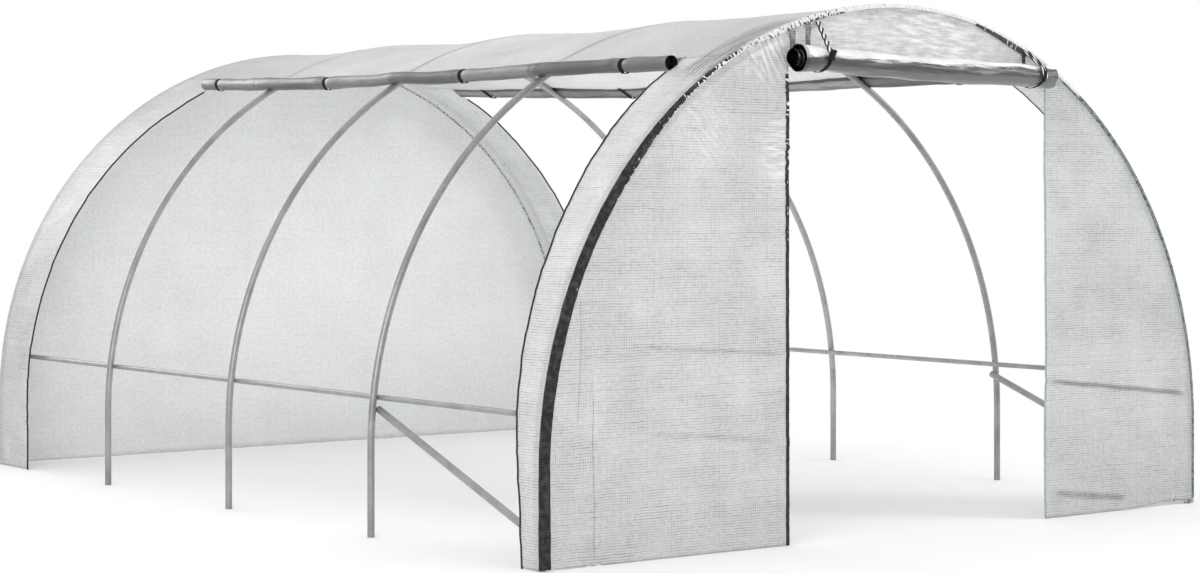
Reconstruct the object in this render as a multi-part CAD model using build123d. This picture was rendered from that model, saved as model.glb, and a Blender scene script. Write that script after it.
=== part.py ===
from build123d import *
import os
from math import asin, atan2, cos, degrees, hypot, pi, radians, sin, sqrt

# Polytunnel greenhouse: five bent-tube hoops under a woven sheet cover.
# Millimetres. X runs across the tunnel, Y from the doorway to the closed end, Z up.
# The origin is on the ground, in the middle of the whole footprint.

# Cover, measured over the outside of the sheet
WIDTH = 3000.0
LENGTH = 4000.0
LEG_HEIGHT = 300.0
SHEET = 3.0

# Frame tubes
HOOP_TUBE = 25.0
RAIL_TUBE = 19.0
BRACE_TUBE = 25.0
BAYS = 4
HOOP_JOINT_ANGLE = 52.0
RAIL_HEIGHT = 470.0
RAIL_OVERRUN = 11.0
BRACE_FOOT_HEIGHT = 75.0
BRACE_DROP = 18.0

# Gap kept between pieces that only touch
FIT = 0.3

# Doorway in the front wall
DOOR_LEFT = 500.0
DOOR_RIGHT = 700.0
GABLE_CORNER = 52.0

# Rolled door curtain
DOOR_ROLL = 86.0
DOOR_ROLL_OVERHANG = 12.0
DOOR_ROLL_DROP = 8.0
DOOR_TIE_INSETS = (125.0, 100.0)
DOOR_TIE_WIDTH = 14.0

# Rolled side curtains, each with its centre line a little under the edge of the roof sheet
SIDE_ROLL = 50.0
SIDE_ROLL_ANGLE = 59.0
SIDE_ROLL_HANG = 18.0
FRONT_STRIP_FOOT = 95.0
FRONT_STRIP_TOP = 235.0
REAR_STRIP = 280.0
SIDE_ROLL_OVERLAP = 12.0
SIDE_TIE_WIDTH = 16.0
SIDE_TIE_THICK = 2.0

# Sewn tapes and edgings
ARCH_TAPE_WIDTH = 26.0
DOOR_ZIP_WIDTH = 16.0
TAPE_THICK = 1.5
PIPING_WIDTH = 8.0
PIPING_STOP_ANGLE = 1.5
TAPE_LIFT = 1.0

# Radii of the cover and of the tubes' centre lines
COVER_RADIUS = WIDTH / 2
COVER_INSIDE = COVER_RADIUS - SHEET
HOOP_RADIUS = COVER_INSIDE - FIT - HOOP_TUBE / 2
RAIL_RADIUS = HOOP_RADIUS - HOOP_TUBE / 2 - FIT - RAIL_TUBE / 2
BRACE_RADIUS = HOOP_RADIUS - HOOP_TUBE / 2 - FIT - BRACE_TUBE / 2

# The doorway's head meets the arch a little under its lower corner
DOOR_CORNER = max(DOOR_LEFT, DOOR_RIGHT)
DOOR_HEAD = LEG_HEIGHT + sqrt(COVER_RADIUS ** 2 - DOOR_CORNER ** 2) - GABLE_CORNER

# The roof sheet ends just above the centre of each side roll
ROOF_EDGE_ANGLE = SIDE_ROLL_ANGLE + degrees(SIDE_ROLL_HANG / COVER_RADIUS)
ROOF_EDGE_HEIGHT = LEG_HEIGHT + COVER_RADIUS * sin(radians(ROOF_EDGE_ANGLE))

# The door roll stands out from the front wall and shares the footprint with the cover
DOOR_ROLL_GAP = FIT + TAPE_THICK
DOOR_ROLL_REACH = DOOR_ROLL + DOOR_ROLL_GAP + FIT + TAPE_THICK
REAR_Y = (LENGTH + DOOR_ROLL_REACH) / 2
FRONT_Y = REAR_Y - LENGTH
COVER_FRONT_Y = FRONT_Y + SHEET
COVER_REAR_Y = REAR_Y - SHEET

# Hoop stations
FIRST_HOOP_Y = COVER_FRONT_Y + FIT + HOOP_TUBE / 2
LAST_HOOP_Y = COVER_REAR_Y - FIT - HOOP_TUBE / 2
BAY = (LAST_HOOP_Y - FIRST_HOOP_Y) / BAYS
HOOP_NAMES = ("front", "second", "middle", "fourth", "rear")

SIDES = {"left": -1, "right": 1}


def save(name, shape):
    """Write one sub-part under its node name."""
    export_step(shape, f"parts/{name}.step")


def on_arch(radius, angle, side):
    """A point of the tunnel's round part, in X and Z; the angle is up from the springing line."""
    x = side * radius * cos(radians(angle))
    return x, LEG_HEIGHT + radius * sin(radians(angle))


def side_line(radius, top_angle, side):
    """The line up one side of the tunnel, from the ground to an angle of the arch."""
    foot = (side * radius, 0)
    spring = (side * radius, LEG_HEIGHT)
    middle = on_arch(radius, top_angle / 2, side)
    end = on_arch(radius, top_angle, side)
    return Wire([Line(foot, spring), ThreePointArc(spring, middle, end)])


def crown_line(radius, low_angle):
    """The line over the top of the tunnel between one angle on the left and one on the right."""
    left = on_arch(radius, low_angle, SIDES["left"])
    right = on_arch(radius, low_angle, SIDES["right"])
    return Wire([ThreePointArc(left, (0, LEG_HEIGHT + radius), right)])


def band(outer, inner):
    """The face between an outer line and an inner one that run side by side."""
    ends = [Line(outer @ 0, inner @ 0), Line(outer @ 1, inner @ 1)]
    return make_face([*outer.edges(), *inner.edges(), *ends])


def along_tunnel(face, start_y, end_y):
    """Stand a face drawn in X and Z upright, and run it along the tunnel."""
    standing = Plane.XZ.offset(-start_y) * face
    return extrude(standing, amount=end_y - start_y, dir=(0, 1, 0))


def end_profile(radius):
    """The outline of the tunnel's end: a half circle on two straight legs."""
    base = Pos(0, LEG_HEIGHT / 2) * Rectangle(2 * radius, LEG_HEIGHT)
    dome = Pos(0, LEG_HEIGHT) * Circle(radius)
    above = Pos(0, LEG_HEIGHT + radius) * Rectangle(2 * radius, 2 * radius)
    return base + (dome & above)


def window(left, right, low, high):
    """A rectangle between two places across the tunnel and two heights."""
    return Pos((left + right) / 2, (low + high) / 2) * Rectangle(right - left, high - low)


def tube(line, diameter):
    """A round tube along a line drawn in X and Z at Y = 0."""
    path = Plane.XZ * line
    start = path @ 0
    return sweep(Plane(start, z_dir=path % 0) * Circle(diameter / 2), path=path)


def bar(start, end, diameter):
    """A straight round tube between two points."""
    path = Edge.make_line(start, end)
    return sweep(Plane(start, z_dir=path % 0) * Circle(diameter / 2), path=path)


def build_hoops():
    """Each hoop is two bent legs and a crown, pushed together at the joints."""
    for number, place in enumerate(HOOP_NAMES):
        y = FIRST_HOOP_Y + number * BAY
        for side_name, side in SIDES.items():
            leg = tube(side_line(HOOP_RADIUS, HOOP_JOINT_ANGLE, side), HOOP_TUBE)
            save(f"hoop_{place}_{side_name}_leg", Pos(0, y, 0) * leg)
        crown = tube(crown_line(HOOP_RADIUS, HOOP_JOINT_ANGLE), HOOP_TUBE)
        save(f"hoop_{place}_crown", Pos(0, y, 0) * crown)


def inside_height(radius, height):
    """How far out the line of a given radius stands at a height."""
    if height <= LEG_HEIGHT:
        return radius
    return radius * cos(asin((height - LEG_HEIGHT) / radius))


def build_rails():
    """The rails and the ridge tube run the whole length inside the hoops."""
    start = FIRST_HOOP_Y - RAIL_OVERRUN
    end = LAST_HOOP_Y + RAIL_OVERRUN
    for side_name, side in SIDES.items():
        x = side * inside_height(RAIL_RADIUS, RAIL_HEIGHT)
        rail = bar((x, start, RAIL_HEIGHT), (x, end, RAIL_HEIGHT), RAIL_TUBE)
        save(f"side_rail_{side_name}", rail)
    ridge = LEG_HEIGHT + RAIL_RADIUS
    save("ridge_tube", bar((0, start, ridge), (0, end, ridge), RAIL_TUBE))


def build_braces():
    """A brace in the front bay runs from the front foot up to the second hoop."""
    for side_name, side in SIDES.items():
        top = RAIL_HEIGHT - RAIL_TUBE / 2 - BRACE_TUBE / 2 - BRACE_DROP
        foot = (side * BRACE_RADIUS, FIRST_HOOP_Y, BRACE_FOOT_HEIGHT)
        head = (side * inside_height(BRACE_RADIUS, top), FIRST_HOOP_Y + BAY, top)
        save(f"brace_{side_name}", bar(foot, head, BRACE_TUBE))


def build_roof():
    """The roof sheet lies over the crowns, down to the two rolled sides."""
    outer = crown_line(COVER_RADIUS, ROOF_EDGE_ANGLE)
    inner = crown_line(COVER_INSIDE, ROOF_EDGE_ANGLE)
    save("roof_cover", along_tunnel(band(outer, inner), COVER_FRONT_Y, COVER_REAR_Y))


def open_edge(set_back):
    """The open edge of a front strip in Y and Z, set back from its own line; it leans to the rear."""
    foot = (FRONT_Y + FRONT_STRIP_FOOT - set_back, 0)
    top = (FRONT_Y + FRONT_STRIP_TOP - set_back, ROOF_EDGE_HEIGHT)
    return foot, top


def across_tunnel(corners):
    """A slab with the given corners in Y and Z that reaches across the whole tunnel."""
    side_view = Plane.YZ * make_face(Polyline(*corners, close=True))
    return extrude(side_view, amount=WIDTH, both=True)


def build_side_strips():
    """The sheet stays down in a strip at each end of an open side."""
    foot, top = open_edge(0)
    front = across_tunnel([(COVER_FRONT_Y, 0), foot, top, (COVER_FRONT_Y, ROOF_EDGE_HEIGHT)])
    for side_name, side in SIDES.items():
        outer = side_line(COVER_RADIUS, ROOF_EDGE_ANGLE, side)
        inner = side_line(COVER_INSIDE, ROOF_EDGE_ANGLE, side)
        face = band(outer, inner)
        whole = along_tunnel(face, COVER_FRONT_Y, FRONT_Y + FRONT_STRIP_TOP)
        save(f"side_strip_front_{side_name}", whole & front)
        rear = along_tunnel(face, REAR_Y - REAR_STRIP, COVER_REAR_Y)
        save(f"side_strip_rear_{side_name}", rear)


def build_front_wall():
    """Two panels stand beside the doorway, and a half-moon gable closes the top."""
    profile = end_profile(COVER_RADIUS)
    high = 2 * COVER_RADIUS
    panels = {
        "front_wall_left": window(-COVER_RADIUS, -DOOR_LEFT, 0, high),
        "front_wall_right": window(DOOR_RIGHT, COVER_RADIUS, 0, high),
        "front_gable": window(-DOOR_LEFT, DOOR_RIGHT, DOOR_HEAD, high),
    }
    for name, area in panels.items():
        save(name, along_tunnel(profile & area, FRONT_Y, COVER_FRONT_Y))


def build_rear_wall():
    """The far end is closed by one whole sheet."""
    save("rear_wall", along_tunnel(end_profile(COVER_RADIUS), COVER_REAR_Y, REAR_Y))


def door_roll_centre():
    """Where the door roll's centre lies, in Y and Z."""
    return FRONT_Y - DOOR_ROLL_GAP - DOOR_ROLL / 2, DOOR_HEAD + DOOR_ROLL_DROP


def build_door_roll():
    """The door curtain, rolled up under the gable."""
    y, z = door_roll_centre()
    left = -DOOR_LEFT - DOOR_ROLL_OVERHANG
    right = DOOR_RIGHT + DOOR_ROLL_OVERHANG
    save("door_roll", bar((left, y, z), (right, y, z), DOOR_ROLL))


def build_door_ties():
    """Two straps hang from the arch tape, round the front of the roll and back up behind it."""
    centre_y, centre_z = door_roll_centre()
    radius = DOOR_ROLL / 2 + FIT + TAPE_THICK / 2
    anchor_y = FRONT_Y - TAPE_THICK / 2
    places = (-DOOR_LEFT + DOOR_TIE_INSETS[0], DOOR_RIGHT - DOOR_TIE_INSETS[1])

    def at(angle):
        return centre_y + radius * cos(angle), centre_z + radius * sin(angle)

    straps = []
    for x in places:
        outer_x = abs(x) + DOOR_TIE_WIDTH / 2
        tape_inside = COVER_RADIUS - ARCH_TAPE_WIDTH
        anchor_z = LEG_HEIGHT + sqrt(tape_inside ** 2 - outer_x ** 2) - TAPE_THICK
        reach = hypot(anchor_y - centre_y, anchor_z - centre_z)
        lean = atan2(anchor_z - centre_z, anchor_y - centre_y)
        touch = lean + pi / 2 - asin(radius / reach)
        drop = Line((anchor_y, anchor_z), at(touch))
        wrap = ThreePointArc(at(touch), at((touch + 2 * pi) / 2), at(2 * pi))
        strap = Plane.YZ * trace([drop, wrap], TAPE_THICK)
        straps.append(Pos(x - DOOR_TIE_WIDTH / 2, 0, 0) * extrude(strap, amount=DOOR_TIE_WIDTH))
    save("door_ties", Compound(straps))


def build_side_rolls():
    """Each side curtain, rolled up along the edge of the roof sheet."""
    radius = COVER_RADIUS + FIT + SIDE_ROLL / 2
    start = FRONT_Y + FRONT_STRIP_TOP - SIDE_ROLL_OVERLAP
    end = REAR_Y - REAR_STRIP + SIDE_ROLL_OVERLAP
    for side_name, side in SIDES.items():
        x, z = on_arch(radius, SIDE_ROLL_ANGLE, side)
        save(f"side_roll_{side_name}", bar((x, start, z), (x, end, z), SIDE_ROLL))


def build_side_ties():
    """A strap in the middle of each bay runs from the roof sheet round the outside of the roll."""
    radius = COVER_RADIUS + FIT + SIDE_ROLL / 2
    hold = SIDE_ROLL / 2 + FIT + SIDE_TIE_THICK / 2
    inside = -SIDE_ROLL / 2
    angle = radians(SIDE_ROLL_ANGLE)
    for side_name, side in SIDES.items():
        x, z = on_arch(radius, SIDE_ROLL_ANGLE, side)

        def at(outward, upward):
            across = side * (outward * cos(angle) - upward * sin(angle))
            return x + across, z + outward * sin(angle) + upward * cos(angle)

        upper = Line(at(inside, hold), at(0, hold))
        wrap = ThreePointArc(at(0, hold), at(hold, 0), at(0, -hold))
        lower = Line(at(0, -hold), at(inside, -hold))
        strap = trace([upper, wrap, lower], SIDE_TIE_THICK)
        straps = []
        for bay in range(BAYS):
            y = FIRST_HOOP_Y + (bay + 0.5) * BAY
            straps.append(along_tunnel(strap, y - SIDE_TIE_WIDTH / 2, y + SIDE_TIE_WIDTH / 2))
        save(f"side_ties_{side_name}", Compound(straps))


def build_front_tapes():
    """A dark tape edges the whole front arch, and a zip edges each side of the doorway."""
    outer = end_profile(COVER_RADIUS)
    inner = end_profile(COVER_RADIUS - ARCH_TAPE_WIDTH)
    above_ground = window(-COVER_RADIUS, COVER_RADIUS, TAPE_LIFT, 2 * COVER_RADIUS)
    arch = (outer - inner) & above_ground
    save("front_arch_tape", along_tunnel(arch, FRONT_Y - TAPE_THICK, FRONT_Y))
    zips = {
        "door_zip_left": (-DOOR_LEFT - DOOR_ZIP_WIDTH, -DOOR_LEFT),
        "door_zip_right": (DOOR_RIGHT, DOOR_RIGHT + DOOR_ZIP_WIDTH),
    }
    for name, (left, right) in zips.items():
        top = DOOR_HEAD - DOOR_ROLL / 2
        face = window(left, right, TAPE_LIFT, top)
        save(name, along_tunnel(face, FRONT_Y - TAPE_THICK, FRONT_Y))


def build_side_edgings():
    """A dark edging runs up the open edge of every side strip."""
    above_ground = window(-2 * COVER_RADIUS, 2 * COVER_RADIUS, TAPE_LIFT, 2 * COVER_RADIUS)
    leaning = across_tunnel([*open_edge(PIPING_WIDTH), *reversed(open_edge(0))])
    for side_name, side in SIDES.items():
        top = SIDE_ROLL_ANGLE - PIPING_STOP_ANGLE
        outer = side_line(COVER_RADIUS + TAPE_THICK, top, side)
        inner = side_line(COVER_RADIUS, top, side)
        face = band(outer, inner) & above_ground
        whole = along_tunnel(face, COVER_FRONT_Y, FRONT_Y + FRONT_STRIP_TOP)
        save(f"side_edging_front_{side_name}", whole & leaning)
        rear_start = REAR_Y - REAR_STRIP
        rear = along_tunnel(face, rear_start, rear_start + PIPING_WIDTH)
        save(f"side_edging_rear_{side_name}", rear)


def main():
    """Build every sub-part and write it out."""
    os.makedirs("parts", exist_ok=True)
    build_hoops()
    build_rails()
    build_braces()
    build_roof()
    build_side_strips()
    build_front_wall()
    build_rear_wall()
    build_door_roll()
    build_door_ties()
    build_side_rolls()
    build_side_ties()
    build_front_tapes()
    build_side_edgings()


main()
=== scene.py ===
"""Looks of a garden polytunnel: a white woven sheet on five bent-tube hoops, its sides and door rolled up.

Metres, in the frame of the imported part: X across the tunnel, Y from the doorway to the closed end, Z up.
"""

import logging
import math
from dataclasses import dataclass, field
from enum import Enum
from functools import partial
from typing import Callable, Sequence

import bpy
import numpy as np
from mathutils import Matrix, Vector


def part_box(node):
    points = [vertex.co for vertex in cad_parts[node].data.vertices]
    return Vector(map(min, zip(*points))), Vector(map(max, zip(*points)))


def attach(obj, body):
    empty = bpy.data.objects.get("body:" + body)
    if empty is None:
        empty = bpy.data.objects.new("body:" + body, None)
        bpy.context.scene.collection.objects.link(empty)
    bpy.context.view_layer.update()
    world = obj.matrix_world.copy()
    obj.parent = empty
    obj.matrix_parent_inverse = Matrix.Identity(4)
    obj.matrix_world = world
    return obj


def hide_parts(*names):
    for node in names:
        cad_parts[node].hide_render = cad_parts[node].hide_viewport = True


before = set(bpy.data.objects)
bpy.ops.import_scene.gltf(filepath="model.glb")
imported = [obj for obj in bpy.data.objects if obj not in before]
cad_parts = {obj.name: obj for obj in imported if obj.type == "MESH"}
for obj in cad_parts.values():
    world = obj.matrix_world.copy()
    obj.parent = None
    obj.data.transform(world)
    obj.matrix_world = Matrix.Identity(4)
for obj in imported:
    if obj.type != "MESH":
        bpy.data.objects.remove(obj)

Array = np.ndarray
Tree = bpy.types.NodeTree
Socket = bpy.types.NodeSocket
Material = bpy.types.Material
Piece = bpy.types.Object
Place = tuple[float, float, float]

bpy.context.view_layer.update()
MM = 0.001
# Added to places along the tunnel on the cover's flat map, so that all of them are above 0.
MAP_SHIFT = 3.0
LOG = logging.getLogger("polytunnel")


class Side(Enum):
    """The two long sides of the tunnel, by the sign of X."""

    LEFT = -1
    RIGHT = 1

    @property
    def word(self) -> str:
        """The side's name as the nodes spell it."""
        return self.name.lower()


class Held(Enum):
    STRETCHED = "stretched"
    GATHERED = "gathered"
    FOLDED = "folded"


# Materials


def linear(colour: str) -> tuple[float, float, float, float]:
    """Turn an sRGB hex colour to the linear values that the shaders take.

    Args:
        colour: six hex digits after a hash sign.

    Returns:
        Red, green, blue and alpha.
    """
    shares = [int(colour[at:at + 2], 16) / 255 for at in (1, 3, 5)]
    made = [c / 12.92 if c <= 0.04045 else ((c + 0.055) / 1.055) ** 2.4 for c in shares]
    return made[0], made[1], made[2], 1.0


def add(tree: Tree, kind: str, inputs: dict | None = None, out: int = 0, **settings) -> Socket:
    """Add one node, set it up and link it.

    Args:
        tree: the node tree.
        kind: the node's type name, without the words that all of them start with.
        inputs: a socket or a plain value for each input, by name or number.
        out: which output to return.
        **settings: the node's own properties.

    Returns:
        The chosen output socket.
    """
    node = tree.nodes.new("ShaderNode" + kind)
    for name, value in settings.items():
        setattr(node, name, value)
    for key, value in (inputs or {}).items():
        if isinstance(value, Socket):
            tree.links.new(value, node.inputs[key])
        else:
            node.inputs[key].default_value = value
    return node.outputs[out]


@dataclass(frozen=True)
class Finish:
    """A named finish. Each kind of finish draws its own shader."""

    name: str

    def shader(self, tree: Tree) -> Socket:
        """Draw the shader and return its output."""
        raise NotImplementedError

    def build(self) -> Material:
        """Make the Blender material for this finish."""
        made = bpy.data.materials.new(self.name)
        made.use_nodes = True
        tree = made.node_tree
        tree.nodes.clear()
        output = tree.nodes.new("ShaderNodeOutputMaterial")
        tree.links.new(self.shader(tree), output.inputs["Surface"])
        return made


def flat_place(tree: Tree) -> tuple[Socket, Socket, Socket]:
    """The flat place on a sheet in metres, and both its coordinates."""
    metres = add(tree, "TexCoord", out=2)
    return metres, add(tree, "SeparateXYZ", {0: metres}), add(tree, "SeparateXYZ", {0: metres}, out=1)


def far_from(tree: Tree, place: Socket, middle: float) -> Socket:
    """How far a coordinate is from a place, to either side."""
    off = add(tree, "Math", {0: place, 1: middle}, operation="SUBTRACT")
    return add(tree, "Math", {0: off}, operation="ABSOLUTE")


def streaks(
    tree: Tree, place: Socket, scale: Sequence[float], detail: float, turn: float = 0.0, **more: float,
) -> Socket:
    """Draw noise in streaks on a sheet.

    Args:
        tree: the node tree.
        place: the flat place on the sheet, in metres.
        scale: how many streaks a metre has, in both directions.
        detail: the noise's detail.
        turn: how far the pattern is turned.
        **more: other inputs of the noise.

    Returns:
        The noise, about 0.5 on average.
    """
    placed = add(tree, "Mapping", {"Vector": place, "Scale": (*scale, 1.0), "Rotation": (0.0, 0.0, turn)})
    return add(tree, "TexNoise", {"Vector": placed, "Scale": 1.0, "Detail": detail, **more})


def seen_plainly(tree: Tree) -> Socket:
    """A value that is 1 where the camera looks, or metal or glass does, and 0 for light that falls."""
    camera, glossy, through = (add(tree, "LightPath", out=number) for number in (0, 3, 6))
    either = add(tree, "Math", {0: camera, 1: glossy}, operation="MAXIMUM")
    return add(tree, "Math", {0: either, 1: through}, operation="MAXIMUM")


def soft_band(
    tree: Tree, place: Socket, middle: float, full: float, none: float, most: float = 1.0,
) -> Socket:
    """Draw a soft band across a coordinate.

    Args:
        tree: the node tree.
        place: the coordinate.
        middle: where the band's middle is.
        full: how far from its middle the band has its full strength.
        none: how far from its middle it ends.
        most: its full strength.

    Returns:
        The band's strength at each place.
    """
    return add(
        tree, "MapRange", {0: far_from(tree, place, middle), 1: full, 2: none, 3: most, 4: 0.0},
        interpolation_type="SMOOTHSTEP",
    )


def mottled(
    tree: Tree, place: Socket, scale: float, detail: float, *levels: float, **more: float,
) -> Socket:
    """Draw soft patches.

    Args:
        tree: the node tree.
        place: the place on the piece, in metres.
        scale: how fine the patches are.
        detail: the noise's detail.
        *levels: two levels of the noise, and how strong the patches are at each.
        **more: other inputs of the noise.

    Returns:
        The patches' strength at each place.
    """
    noise = add(tree, "TexNoise", {"Vector": place, "Scale": scale, "Detail": detail, **more})
    return add(tree, "MapRange", {0: noise, **dict(enumerate(levels, 1))})


def surface(
    tree: Tree, colour: Socket, height: Socket, strength: float, distance: float, **more: float,
) -> Socket:
    """Draw a surface with fine relief.

    Args:
        tree: the node tree.
        colour: its colour.
        height: its relief, from 0 to 1.
        strength: how much the relief shows.
        distance: how high the relief is, in metres.
        **more: other inputs of the shader.

    Returns:
        The shader.
    """
    raised = add(tree, "Bump", {"Height": height, "Strength": strength, "Distance": distance})
    return add(tree, "BsdfPrincipled", {"Base Color": colour, "Normal": raised, **more})


def lit_through(tree: Tree, face: Socket, colour: Socket, share: float) -> Socket:
    """Let a share of the light through a thin surface, in the surface's own colour."""
    glow = add(tree, "BsdfTranslucent", {"Color": colour})
    return add(tree, "MixShader", {0: share, 1: face, 2: glow})


def thread_lines(tree: Tree, along: Socket, pitch: float, width: float, unlike: float) -> Socket:
    """Draw evenly spaced threads, each a little stronger or weaker than the next.

    Args:
        tree: the node tree.
        along: the coordinate across the threads, in metres.
        pitch: the spacing in metres.
        width: how wide a thread shows, in metres.
        unlike: from 0 to 1, how much the threads differ.

    Returns:
        A value that is 1 on a strong thread and 0 between threads.
    """
    count = add(tree, "Math", {0: along, 1: 1 / pitch}, operation="MULTIPLY")
    part = add(tree, "Math", {0: count}, operation="FRACT")
    line = soft_band(tree, part, 0.5, 0.0, 0.5 * width / pitch)
    number = add(tree, "Math", {0: count}, operation="FLOOR")
    chance = add(tree, "TexWhiteNoise", {"W": number}, noise_dimensions="1D")
    weight = add(tree, "MapRange", {0: chance, 1: 0.0, 2: 1.0, 3: 1.0 - unlike, 4: 1.0})
    return add(tree, "Math", {0: line, 1: weight}, operation="MULTIPLY")


def near_line(tree: Tree, place: Socket, ends: Sequence[float], width: float) -> Socket:
    """Find how near a place on a sheet is to a straight line drawn on it.

    Args:
        tree: the node tree.
        place: the flat place on the sheet, in metres.
        ends: both coordinates of the line's start, then of its end.
        width: how far the line fades to each side.

    Returns:
        A value that is 1 on the line and 0 beside it.
    """
    start, end = Vector((ends[0], ends[1], 0.0)), Vector((ends[2], ends[3], 0.0))
    run = (end - start).normalized()
    parts = []
    for direction, clear, reach in ((Vector((-run.y, run.x, 0.0)), 0.0, width), (run, 0.38, 0.5)):
        middle = 0.5 * (start + end) if direction is run else start
        size = (end - start).length if direction is run else 1.0
        off = add(tree, "VectorMath", {0: place, 1: direction}, out=1, operation="DOT_PRODUCT")
        parts.append(soft_band(tree, off, middle.dot(direction), clear * size, reach * size))
    return add(tree, "Math", {0: parts[0], 1: parts[1]}, operation="MULTIPLY")


@dataclass(frozen=True)
class WovenSheet(Finish):
    """Woven polyethylene sheet, laminated both sides: a dull white film over a dark open mesh.

    The mesh shows as a fine uneven grid, the film gives a soft sheen, and light from behind glows through.
    The shadows of the tubes and the rail behind it and the shade along its creases are painted as dark lines,
    a bunched place shows its close mesh with painted shade in its pleats, and painted highlights lie where
    the film is pulled. Each crease has both coordinates of its start and end, its half width and its
    strength. A bunched place has its middle and half sizes.
    """

    film: str = "#EAEBEB"
    thread: str = "#66686A"
    pitch: tuple[float, float] = (8.9 * MM, 8.7 * MM)
    thread_width: float = 4.0 * MM
    strength: tuple[float, float] = (0.54, 0.82)
    clouding: float = 0.12
    through: float = 0.52
    roughness: float = 0.42
    creases: tuple[tuple[float, float, float, float, float, float], ...] = ()
    bunched: tuple[float, float, float, float] | None = None
    ridge: float = 2.656
    # Painted highlights, each with both coordinates of its middle, its reach, its angle and its strength.
    painted_highlights: tuple[tuple[float, float, float, float, float], ...] = ()

    def bunching(self, tree: Tree, axes: Sequence[Socket], lines: Sequence[Socket]) -> Socket:
        """Draw the dark close mesh where the sheet is bunched, with painted shade in its pleats, the same on
        both sides of the ridge.

        Args:
            tree: the node tree.
            axes: both flat coordinates of the sheet.
            lines: the threads of the mesh, both ways.

        Returns:
            How dark each place is.
        """
        first, second = axes
        across, along, half_across, half_along = self.bunched
        fine = add(tree, "Math", {0: lines[0], 1: lines[1]}, operation="MAXIMUM")
        fine = add(tree, "Math", {0: fine, 1: 0.45}, operation="MULTIPLY")
        streak = streaks(tree, add(tree, "CombineXYZ", {0: first, 1: second}), (48.0, 9.0), 3.0)
        streak = add(tree, "MapRange", {0: streak, 1: 0.40, 2: 0.62, 3: 0.2, 4: 1.6})
        # Painted shade in the pleats: a dark line every 22 mm along the gathers.
        share = thread_lines(tree, first, 22 * MM, 13 * MM, 0.5)
        share = add(tree, "Math", {0: share, 1: streak}, operation="MULTIPLY")
        share = add(tree, "Math", {0: share, 1: fine}, operation="ADD")
        folded = far_from(tree, second, self.ridge)
        for place, middle, half in ((first, across, half_across), (folded, self.ridge - along, half_along)):
            inside = soft_band(tree, place, middle, 0.5 * half, half)
            share = add(tree, "Math", {0: share, 1: inside}, operation="MULTIPLY")
        return share

    def pulls(self, tree: Tree, place: Socket, highlight_spot: Sequence[float]) -> Socket:
        """Draw painted highlights in streaks, where the film is stretched off the mesh.

        Args:
            tree: the node tree.
            place: the flat place on the sheet, in metres.
            highlight_spot: both coordinates of the middle, how far it reaches, its angle and its strength.

        Returns:
            How strong the painted highlight is at each place, from 0 to 1.
        """
        across, along, reach, slope, most = highlight_spot
        centred = add(tree, "VectorMath", {0: place, 1: (across, along, 0.0)}, operation="SUBTRACT")
        far = add(tree, "VectorMath", {0: centred}, out=1, operation="LENGTH")
        near = add(
            tree, "MapRange", {0: far, 1: 0.2 * reach, 2: reach, 3: most, 4: 0.0},
            interpolation_type="SMOOTHSTEP",
        )
        turned = add(tree, "Mapping", {"Vector": centred, "Rotation": (0.0, 0.0, slope)})
        streak = streaks(tree, turned, (12.0, 75.0), 3.0)
        streak = add(tree, "MapRange", {0: streak, 1: 0.42, 2: 0.62, 3: 0.0, 4: 1.0})
        return add(tree, "Math", {0: near, 1: streak}, operation="MULTIPLY")

    def shader(self, tree: Tree) -> Socket:
        """Draw the mesh, the cloudy film over it, the painted shade lines and highlights, and the light that
        passes through.
        """
        metres = add(tree, "TexCoord", out=2)
        sway = add(tree, "TexNoise", {"Vector": metres, "Scale": 7.0, "Detail": 2.0}, out=1)
        sway = add(tree, "VectorMath", {0: sway, 1: (0.5, 0.5, 0.5)}, operation="SUBTRACT")
        sway = add(tree, "VectorMath", {0: sway, "Scale": 0.012}, operation="SCALE")
        uneven = add(tree, "VectorMath", {0: metres, 1: sway}, operation="ADD")
        axes = [add(tree, "SeparateXYZ", {0: uneven}, out=number) for number in (0, 1)]
        lines, patches = [], []
        for number, share in enumerate(self.strength):
            moved = add(tree, "Mapping", {"Vector": metres, "Location": (3.1 * number, 1.7, 0.0)})
            patch = mottled(tree, moved, 9.0, 3.0, 0.34, 0.66, 0.42 * share, share)
            dashes = streaks(tree, metres, (120.0, 34.0) if number == 0 else (34.0, 120.0), 1.0)
            dashes = add(tree, "MapRange", {0: dashes, 1: 0.36, 2: 0.64, 3: 0.48, 4: 1.0})
            patch = add(tree, "Math", {0: patch, 1: dashes}, operation="MULTIPLY")
            line = thread_lines(tree, axes[number], self.pitch[number], self.thread_width, 0.5)
            lines.append(line)
            patches.append(add(tree, "Math", {0: line, 1: patch}, operation="MULTIPLY"))
        mesh = add(tree, "Math", {0: patches[0], 1: patches[1]}, operation="MAXIMUM")
        cloud = mottled(tree, metres, 3.2, 6.0, 0.3, 0.7, self.clouding, 0.0, Roughness=0.62)
        speck = mottled(tree, metres, 70.0, 2.0, 0.35, 0.65, 0.10, 0.0)
        mottle_and_painted_shade = add(tree, "Math", {0: cloud, 1: speck}, operation="ADD")
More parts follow.
